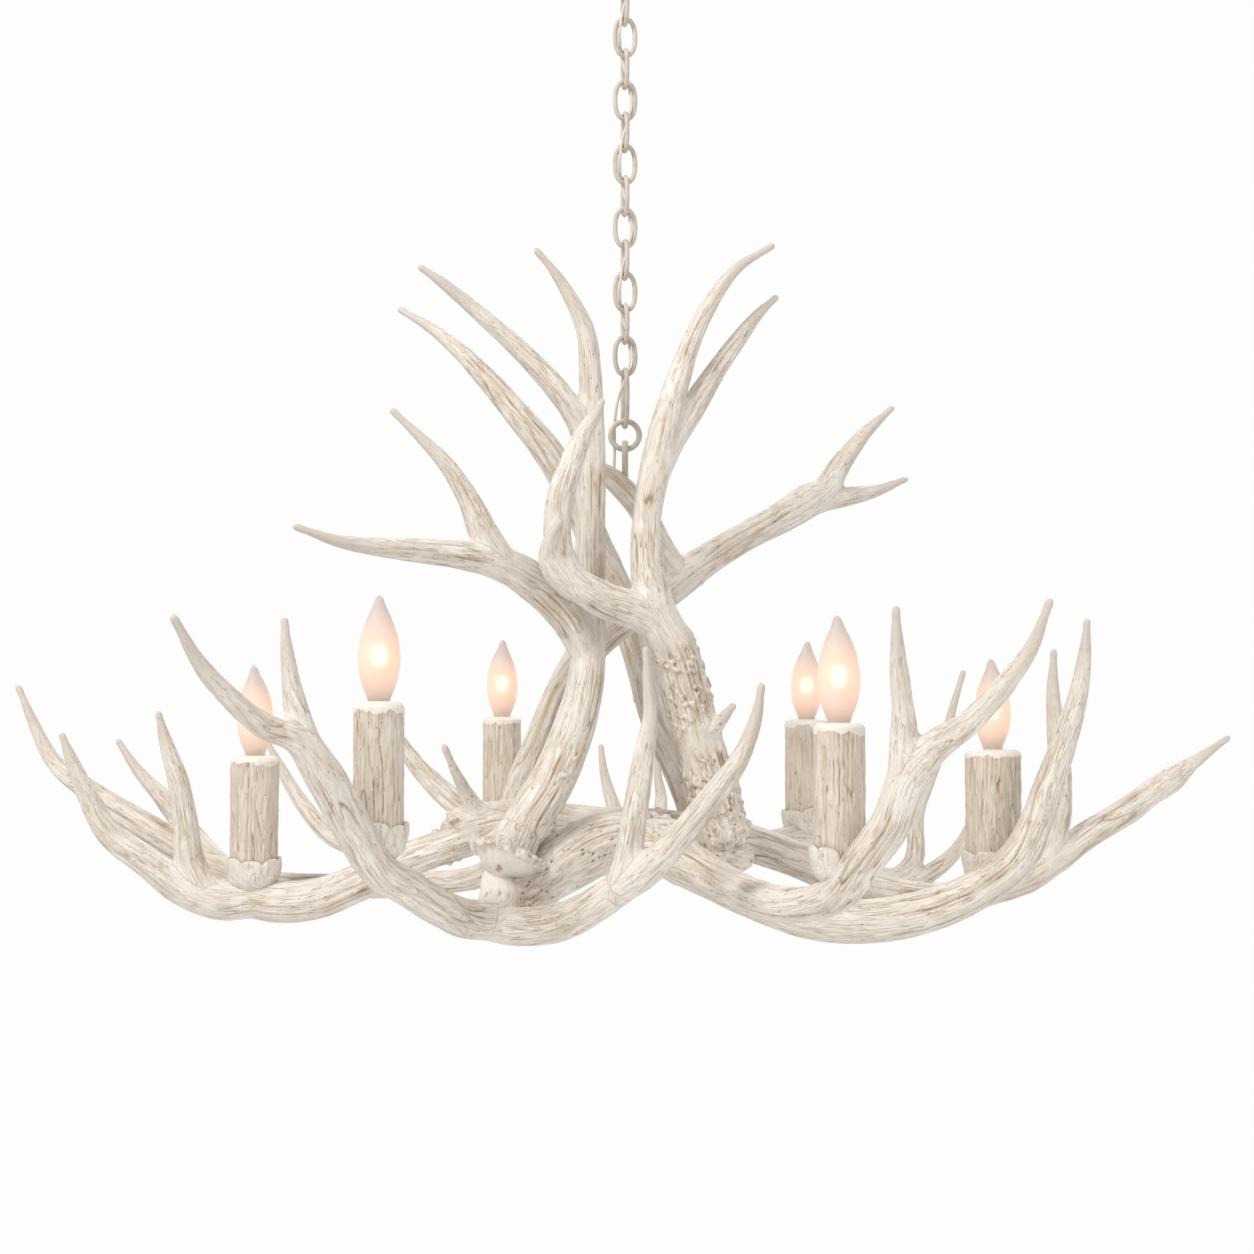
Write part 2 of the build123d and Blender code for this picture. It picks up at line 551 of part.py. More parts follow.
for number, (_, (x, y, _), _, sleeve_radius) in CANDLES.items():
    seat = seat_height(number)
    lip_radius = sleeve_radius + cup_lip
    cup_floor = seat + cup_height - sleeve_depth
    sleeve_top = cup_floor + sleeve_length
    axis = Axis((x, y, 0), (0, 0, 1))

    with BuildPart() as cup:
        with BuildSketch(upright(x, y, seat)):
            with BuildLine():
                flare = Spline(
                    (sleeve_radius - cup_taper, 0),
                    (sleeve_radius + cup_wall, cup_height - sleeve_depth),
                    (lip_radius, cup_height),
                    tangents=((0.35, 1), (0.1, 1)),
                )
                Polyline(
                    flare @ 1,
                    (sleeve_radius + sleeve_fit, cup_height),
                    (sleeve_radius + sleeve_fit, cup_height - sleeve_depth),
                    (nipple_hole_radius, cup_height - sleeve_depth),
                    (nipple_hole_radius, 0),
                    flare @ 0,
                )
            make_face()
        revolve(axis=axis)
        for petal in range(petals):
            turn = 360 * petal / petals + petal_twist * number
            dip_x = x + lip_radius * cos(radians(turn))
            dip_y = y + lip_radius * sin(radians(turn))
            with Locations(Location((dip_x, dip_y, seat + cup_height + petal_dip), (0, 90, turn))):
                Cylinder(petal_notch, 2 * sleeve_depth, mode=Mode.SUBTRACT)
    save(cup, f"candle_cup_{number}")

    with BuildPart() as sleeve:
        with BuildSketch(Plane(origin=(x, y, cup_floor))):
            Circle(sleeve_radius)
            with PolarLocations(
                sleeve_radius + groove_offset, groove_count, start_angle=groove_twist * number
            ):
                Circle(groove_radius, mode=Mode.SUBTRACT)
            Circle(sleeve_bore_radius, mode=Mode.SUBTRACT)
        extrude(amount=sleeve_length - sleeve_rim)
        with BuildSketch(upright(x, y, sleeve_top - sleeve_rim)):
            with BuildLine():
                Polyline(
                    (sleeve_mouth_radius, 0),
                    (sleeve_radius, 0),
                    (sleeve_radius, sleeve_rim - sleeve_chamfer),
                    (sleeve_radius - sleeve_chamfer, sleeve_rim),
                    (sleeve_mouth_radius, sleeve_rim),
                    close=True,
                )
            make_face()
        revolve(axis=axis)
    save(sleeve, f"candle_sleeve_{number}")

    glass_bottom = sleeve_top - bulb_sunk
    with BuildPart() as glass:
        for inset, mode in ((0.0, Mode.ADD), (glass_wall, Mode.SUBTRACT)):
            with BuildSketch(upright(x, y, glass_bottom)):
                with BuildLine():
                    outline = Spline(
                        (bulb_neck_radius - inset, inset),
                        *((bulb_radius * wide - inset, bulb_length * high) for wide, high in FLAME),
                        (bulb_tip_radius, bulb_length - inset),
                        tangents=((0.35, 1), (-0.12, 1)),
                    )
                    Polyline(outline @ 1, (0, bulb_length - inset), (0, inset), outline @ 0)
                make_face()
            revolve(axis=axis, mode=mode)
    save(glass, f"bulb_glass_{number}")

    with BuildPart() as base:
        with BuildSketch(upright(x, y, glass_bottom)):
            with BuildLine():
                Polyline(
                    (0, 0),
                    (base_radius, 0),
                    (base_radius, -base_length + contact_height + base_cone),
                    (contact_radius, -base_length + contact_height),
                    (contact_radius, -base_length),
                    (0, -base_length),
                    close=True,
                )
            make_face()
        revolve(axis=axis)
    save(base, f"bulb_base_{number}")

print("hub centre z", round(hub_z, 2), "ring centre z", round(ring_z, 2), "eye z", round(eye_top_z, 2))
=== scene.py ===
import json
from functools import partialmethod
from itertools import product
from math import cos, pi, radians, sin

import bmesh
import bpy
import numpy as np
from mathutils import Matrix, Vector


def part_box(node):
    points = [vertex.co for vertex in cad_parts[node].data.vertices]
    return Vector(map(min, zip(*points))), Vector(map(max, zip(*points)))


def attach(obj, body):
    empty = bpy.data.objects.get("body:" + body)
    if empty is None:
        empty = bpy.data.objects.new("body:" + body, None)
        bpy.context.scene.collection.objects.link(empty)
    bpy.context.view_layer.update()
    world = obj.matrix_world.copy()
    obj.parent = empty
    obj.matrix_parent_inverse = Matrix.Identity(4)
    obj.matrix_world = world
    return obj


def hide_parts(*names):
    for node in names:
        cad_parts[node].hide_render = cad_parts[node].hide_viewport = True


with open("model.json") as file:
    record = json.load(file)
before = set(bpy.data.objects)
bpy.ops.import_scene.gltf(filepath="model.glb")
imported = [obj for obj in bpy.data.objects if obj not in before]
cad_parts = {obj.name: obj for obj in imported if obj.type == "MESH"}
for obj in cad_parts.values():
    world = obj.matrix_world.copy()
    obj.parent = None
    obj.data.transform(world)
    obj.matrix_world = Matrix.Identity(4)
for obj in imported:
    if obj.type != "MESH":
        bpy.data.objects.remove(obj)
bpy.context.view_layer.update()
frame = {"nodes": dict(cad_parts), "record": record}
nodes = frame["nodes"]
scene = bpy.context.scene
MM = 1000.0  # millimetres in a metre

# ---- camera and lamps ----
eye = bpy.data.cameras.new("view")
eye.sensor_width = 36.0
eye.lens = 56.73
camera = bpy.data.objects.new("view", eye)
camera.location = (0.0017, -1.712, -0.702)
camera.rotation_euler = (radians(90 + 2.9), 0, 0)
scene.collection.objects.link(camera)
scene.camera = camera
scene.view_settings.view_transform = "Standard"


def area_light(name, place, aim, size, power, colour):
    lamp = bpy.data.lights.new(name, "AREA")
    lamp.shape = "DISK"
    lamp.size = size
    lamp.energy = power
    lamp.color = colour
    lit = bpy.data.objects.new(name, lamp)
    lit.location = place
    lit.rotation_euler = (Vector(aim) - Vector(place)).to_track_quat("-Z", "Y").to_euler()
    scene.collection.objects.link(lit)


area_light("key", (-1.5, -1.5, 1.5), (0, 0, -0.7), 1.0, 60, (1.0, 0.985, 0.96))
area_light("fill", (2.2, -1.8, 0.1), (0, 0, -0.7), 1.6, 9, (0.99, 0.99, 1.0))
area_light("low", (0.0, -1.5, -2.1), (0, 0, -0.75), 1.8, 10, (1.0, 0.99, 0.98))
area_light("back", (0.6, 2.2, 1.2), (0, 0, -0.6), 1.4, 20, (1.0, 1.0, 1.0))


# ---- nodes ----
class Nodes:
    """The node tree of a material or a world, with short ways to add nodes and link them."""

    def __init__(self, owner, surface="Principled BSDF"):
        owner.use_nodes = True
        self.owner, self.tree = owner, owner.node_tree
        self.surface = self.tree.nodes[surface]

    def fill(self, node, inputs):
        """Sets each input that gets a number or a colour, and links each that gets an output."""
        for key, value in inputs.items():
            if isinstance(value, (int, float, tuple)):
                node.inputs[key].default_value = value
            else:
                self.tree.links.new(value, node.inputs[key])

    def finish(self, inputs):
        self.fill(self.surface, inputs)
        return self.owner

    def node(self, kind, inputs, output=0, **settings):
        made = self.tree.nodes.new("ShaderNode" + kind)
        for key, value in settings.items():
            setattr(made, key, value)
        self.fill(made, inputs)
        return made.outputs[output]

    def math(self, operation, a, b=0.0, clamp=False):
        return self.node("Math", {0: a, 1: b}, operation=operation, use_clamp=clamp)

    times, less = partialmethod(math, "MULTIPLY"), partialmethod(math, "SUBTRACT")
    most, absolute = partialmethod(math, "MAXIMUM"), partialmethod(math, "ABSOLUTE")

    def mix(self, factor, a, b):
        return self.node("Mix", {"Factor": factor, 6: a, 7: b}, 2, data_type="RGBA")

    def ramp(self, value, low, high):
        inputs = {"Value": value, "From Min": low, "From Max": high}
        return self.node("MapRange", inputs, interpolation_type="SMOOTHSTEP")

    def attribute(self, name, output="Fac"):
        return self.node("Attribute", {}, output, attribute_name=name)

    def coordinates(self):
        return self.node("TexCoord", {}, "Object")

    def scaled(self, vector, scale):
        return self.node("VectorMath", {0: vector, 1: scale}, operation="MULTIPLY")

    def noise(self, vector, scale, detail, roughness=0.55, distortion=0.0):
        inputs = {"Vector": vector, "Scale": scale, "Detail": detail, "Roughness": roughness}
        return self.node("TexNoise", {**inputs, "Distortion": distortion}, "Fac")

    def bump(self, height, strength, distance):
        inputs = {"Height": height, "Strength": strength, "Distance": distance}
        self.fill(self.surface, {"Normal": self.node("Bump", inputs, "Normal")})

    def blend(self, share, first, second, target):
        """Gives the tree's output one shader that passes into another."""
        both = self.node("MixShader", {0: share, 1: first, 2: second})
        self.fill(self.tree.nodes[target], {"Surface": both})
        return self.owner


SEEN_WHITE, CAST_WHITE = 0.985, 0.81  # the surround's strength as it is seen, and as it lights


def studio():
    """A white surround behind the object, which lights it more softly than it looks."""
    look = Nodes(bpy.data.worlds.new("studio"), "Background")
    look.finish({"Color": (1.0, 1.0, 1.0, 1.0), "Strength": SEEN_WHITE})
    light = look.node("Background", {"Color": (1.0, 0.99, 0.98, 1.0), "Strength": CAST_WHITE})
    seen = look.node("LightPath", {}, "Is Camera Ray")
    return look.blend(seen, light, look.surface.outputs[0], "World Output")


scene.world = studio()


# ---- materials ----
def new_look(name):
    return Nodes(bpy.data.materials.new(name))


def resin(name, pale, tint, wash, dark, dash_share, line_share, haze, cap):
    """Antiqued cast resin: an ivory ground with warm patches, a thin taupe wash in fine lines along
    the grain, and dark specks and short dashes where the wash has stayed in pits."""
    look = new_look(name)
    grain, tip = look.attribute("grain", "Vector"), look.attribute("tip")
    cavity, furrow = look.attribute("cavity"), look.attribute("furrow")

    def streaks(across, along, detail, roughness=0.55, distortion=0.0):
        """Noise drawn out along the grain, with its scales per millimetre."""
        return look.noise(look.scaled(grain, (across, across, along)), 1.0, detail, roughness, distortion)

    def lines(across, along, width, detail, distortion):
        """Thin lines along the grain, where a noise passes its middle value."""
        away = look.absolute(look.less(streaks(across, along, detail, 0.5, distortion), 0.5))
        return look.less(1.0, look.ramp(away, width * 0.15, width))

    worn = look.absolute(tip)
    firm = look.less(1.0, look.times(worn, 0.65))
    patches = look.ramp(look.noise(look.coordinates(), 30, 4), 0.38, 0.68)
    # Where the tip value is above 0 the ground turns to the cap colour. On the antlers this is a darker
    # colour on the thin tips, partly the wash and partly a painted shade.
    ground = look.mix(look.ramp(tip, 0.0, 1.0), look.mix(patches, pale, tint), cap)
    broken = streaks(0.11, 0.05, 2)
    long_lines = look.times(lines(0.34, 0.013, 0.045, 1.5, 0.25), look.ramp(broken, 0.34, 0.54))
    fine = look.most(long_lines, look.times(lines(0.85, 0.035, 0.050, 1.0, 0.15), 0.55))
    pits = look.ramp(streaks(0.60, 0.26, 1.0, 0.5, 0.3), 0.715, 0.775)
    strokes = look.ramp(streaks(0.62, 0.095, 1.5, 0.5, 0.5), 0.680, 0.740)
    specks = look.times(look.most(pits, strokes), look.ramp(broken, 0.30, 0.50))
    veil = look.ramp(streaks(0.13, 0.012, 3), 0.46, 0.72)
    taupe = look.most(look.times(fine, line_share), look.times(furrow, 0.85))
    taupe = look.most(taupe, look.times(look.ramp(cavity, 0.02, 0.40), 0.85))
    taupe = look.math("ADD", taupe, look.times(veil, haze), clamp=True)
    taupe = look.times(taupe, firm)
    deep = look.most(look.times(specks, dash_share), look.times(look.ramp(cavity, 0.35, 0.95), 0.85))
    deep = look.most(deep, look.times(look.ramp(furrow, 0.55, 1.0), look.ramp(broken, 0.46, 0.60)))
    deep = look.times(deep, firm)
    height = look.less(look.times(streaks(0.9, 0.12, 1.5, 0.5), 0.35), look.times(fine, 0.55))
    height = look.less(height, look.times(specks, 0.8))
    look.bump(look.times(height, look.less(1.0, look.times(worn, 0.8))), 0.8, 0.0007)
    return look.finish({
        "Base Color": look.mix(deep, look.mix(taupe, ground, wash), dark),
        "Roughness": look.node("MapRange", {"Value": taupe, "To Min": 0.46, "To Max": 0.75}),
        "Specular IOR Level": 0.35,
    })


IVORY, CREAM = (0.755, 0.715, 0.66, 1), (0.70, 0.645, 0.575, 1)
TAUPE, UMBER = (0.46, 0.36, 0.255, 1), (0.31, 0.215, 0.13, 1)
WARM_IVORY, WARM_CREAM = (0.665, 0.60, 0.52, 1), (0.61, 0.535, 0.445, 1)
WARM_TAUPE, WARM_UMBER = (0.40, 0.29, 0.19, 1), (0.30, 0.20, 0.115, 1)
# On the antlers' thin tips the darker cap colour is partly wash and partly a painted shade.
ANTLER = resin("antler_resin", IVORY, CREAM, TAUPE, UMBER, 0.8, 0.85, 0.20, cap=(0.56, 0.51, 0.45, 1))
BARK = resin("candle_resin", WARM_IVORY, WARM_CREAM, WARM_TAUPE, WARM_UMBER, 0.9, 0.55, 0.10,
             cap=(0.74, 0.70, 0.645, 1))


def painted():
    """Matt beige paint on the chain and the ceiling set, a little rubbed and uneven."""
    look = new_look("beige_paint")
    place = look.coordinates()
    cloud = look.ramp(look.noise(place, 90, 4), 0.35, 0.7)
    speck = look.ramp(look.noise(place, 900, 3), 0.62, 0.75)
    ground = look.mix(cloud, (0.53, 0.48, 0.41, 1), (0.44, 0.39, 0.325, 1))
    look.bump(look.noise(place, 700, 3), 0.25, 0.0003)
    colour = look.mix(look.times(speck, 0.35), ground, (0.30, 0.235, 0.17, 1))
    return look.finish({"Base Color": colour, "Roughness": 0.5, "Specular IOR Level": 0.4})


def clouded(look, value, colour, share):
    """A colour that sinks to a share of itself where the value is high."""
    return look.mix(look.ramp(value, 0.3, 0.7), colour, tuple(share * c for c in colour[:3]) + (1.0,))


def plated(name, colour, roughness, brushed):
    look = new_look(name)
    grain = look.noise(look.scaled(look.coordinates(), brushed), 1.0, 3)
    look.bump(grain, 0.15, 0.0002)
    colour = clouded(look, grain, colour, 0.8)
    return look.finish({"Base Color": colour, "Metallic": 1.0, "Roughness": roughness})


def moulded(name, colour, roughness):
    look = new_look(name)
    place = look.coordinates()
    look.bump(look.noise(place, 1200, 2), 0.12, 0.0002)
    colour = clouded(look, look.noise(place, 60, 3), colour, 0.9)
    return look.finish({"Base Color": colour, "Roughness": roughness})


def frosted():
    """Frosted bulb glass that glows peach round its filament, and is greyer towards its tip and neck. The
    glass's own colour, peach low down and greyer towards the tip, is painted light and shade from the
    filament.
    """
    look = new_look("frosted_glass")
    height = look.attribute("height")
    belly = look.times(look.ramp(height, 0.02, 0.38), look.less(1.0, look.ramp(height, 0.45, 0.95)))
    look.bump(look.noise(look.coordinates(), 1500, 2), 0.05, 0.0001)
    return look.finish({
        # painted light and shade: the glass is coloured peach low down and greyer towards its tip
        "Base Color": look.mix(look.ramp(height, 0.5, 1.0), (0.73, 0.635, 0.575, 1), (0.62, 0.58, 0.555, 1)),
        "Emission Color": look.mix(belly, (0.09, 0.075, 0.066, 1), (0.26, 0.160, 0.110, 1)),
        "Emission Strength": 1.0,
        "Roughness": 0.45,
        "Transmission Weight": 0.5,
        "IOR": 1.24,
    })


def backdrop():
    """A pale floor that melts into the white surround a few metres away."""
    look = new_look("pale_floor")
    place = look.coordinates()
    colour = look.mix(look.noise(place, 3, 2), (0.80, 0.80, 0.795, 1), (0.77, 0.77, 0.765, 1))
    look.finish({"Base Color": colour, "Roughness": 0.9, "Specular IOR Level": 0.1})
    flat = look.scaled(place, (1.0, 1.0, 0.0))
    distance = look.node("VectorMath", {0: flat}, "Value", operation="LENGTH")
    white = look.node("Emission", {"Color": (1.0, 1.0, 1.0, 1.0), "Strength": SEEN_WHITE})
    return look.blend(look.ramp(distance, 1.6, 4.4), look.surface.outputs[0], white, "Material Output")


PAINT = painted()
ZINC = plated("zinc_plate", (0.62, 0.62, 0.60, 1), 0.38, (120, 900, 900))
BRASS = plated("socket_brass", (0.80, 0.62, 0.30, 1), 0.3, (500, 500, 900))
SOCKET = moulded("socket_shell", (0.80, 0.78, 0.70, 1), 0.35)
JACKET = moulded("cord_jacket", (0.66, 0.61, 0.53, 1), 0.42)
FROST = frosted()
GLOW = new_look("filament_glow").finish({
    "Base Color": (1.0, 0.9, 0.75, 1),
    "Emission Color": (1.0, 0.82, 0.62, 1),
    "Emission Strength": 3.6,
})


# ---- floor ----
def mesh_object(name, points, faces, material, smooth=True):
    data = bpy.data.meshes.new(name)
    data.from_pydata([tuple(p) for p in points], [], [tuple(f) for f in faces])
    data.materials.append(material)
    if smooth:
        data.shade_smooth()
    made = bpy.data.objects.new(name, data)
    scene.collection.objects.link(made)
    return made


FLOOR_Z = -2.45
CORNERS = [(x, y, FLOOR_Z) for x, y in ((-9, -9), (9, -9), (9, 9), (-9, 9))]
floor = mesh_object("floor", CORNERS, [(0, 1, 2, 3)], backdrop(), smooth=False)

# ---- supply cord: out of the canopy's stem, woven down the chain and into the inner tine ----
CORD_ROUTE = [
    (0.0, 0.0, -0.0135), (0.0003, -0.0003, -0.0405), (0.0044, -0.0044, -0.05285),
    (-0.0046, -0.0044, -0.08115), (-0.0044, 0.0046, -0.10945), (0.0046, 0.0044, -0.13775),
    (0.0044, -0.0046, -0.16605), (-0.0046, -0.0044, -0.19435), (-0.0044, 0.0045, -0.22265),
    (0.0045, 0.0046, -0.25095), (0.0046, -0.0044, -0.27925), (-0.0044, -0.0046, -0.30755),
    (-0.0046, 0.0044, -0.33585), (0.0044, 0.0046, -0.36415), (0.0040, -0.0044, -0.39245),
    (-0.0060, -0.0030, -0.4139), (-0.0095, 0.0050, -0.4359), (-0.0090, 0.0066, -0.4559),
    (-0.0096, 0.0036, -0.4749), (-0.0092, 0.0014, -0.4899),
]
cord_line = bpy.data.curves.new("supply_cord_line", "CURVE")
cord_line.dimensions = "3D"
cord_line.bevel_depth = 0.0013
cord_line.bevel_resolution = 4
cord_line.resolution_u = 10
cord_line.use_fill_caps = True
spline = cord_line.splines.new("NURBS")
spline.points.add(len(CORD_ROUTE) - 1)
for point, place in zip(spline.points, CORD_ROUTE):
    point.co = (*place, 1.0)
spline.order_u = 3
spline.use_endpoint_u = True
cord_line.materials.append(JACKET)
supply_cord = bpy.data.objects.new("supply_cord_twin", cord_line)
scene.collection.objects.link(supply_cord)
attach(supply_cord, "chain")
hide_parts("supply_cord")


# ---- noise ----
def hashed(cells, seed):
    """A repeatable number from 0 to 1 for each cell of a grid."""
    h = (cells.astype(np.int64) @ (374761393, 668265263, 1274126177) + seed * 974634777) & 0xFFFFFFFF
    h = ((h ^ (h >> 13)) * 1103515245) & 0xFFFFFFFF
    h = ((h ^ (h >> 15)) * 2654435761) & 0xFFFFFFFF
    return ((h ^ (h >> 16)) & 0xFFFFFF) / float(0x1000000)


def noise(points, seed):
    """Smooth noise from -1 to 1 at each point, with features one unit across."""
    cell = np.floor(points)
    part = points - cell
    ease = part * part * (3 - 2 * part)
    total = np.zeros(len(points))
    for corner in product((0, 1), repeat=3):
        share = np.where(corner, ease, 1 - ease)
        total += share[:, 0] * share[:, 1] * share[:, 2] * hashed(cell + corner, seed)
    return total * 2 - 1


def bumps(points, seed, kept):
    """Round bumps, one in each kept cell: 1 at a bump's middle and 0 from half a unit out."""
    cell = np.floor(points)
    best = np.zeros(len(points))
    for step in product((-1, 0, 1), repeat=3):
        at = cell + step
        centre = np.stack([at[:, k] + 0.25 + 0.5 * hashed(at, seed + k) for k in range(3)], 1)
        size = 0.28 + 0.22 * hashed(at, seed + 5)
        near = np.clip(1 - np.linalg.norm(points - centre, axis=1) / size, 0, 1)
        near[hashed(at, seed + 7) > kept] = 0
        best = np.maximum(best, near)
    return best * best * (3 - 2 * best)


def smoothstep(value, low, high):
    t = np.clip((value - low) / (high - low), 0, 1)
    return t * t * (3 - 2 * t)


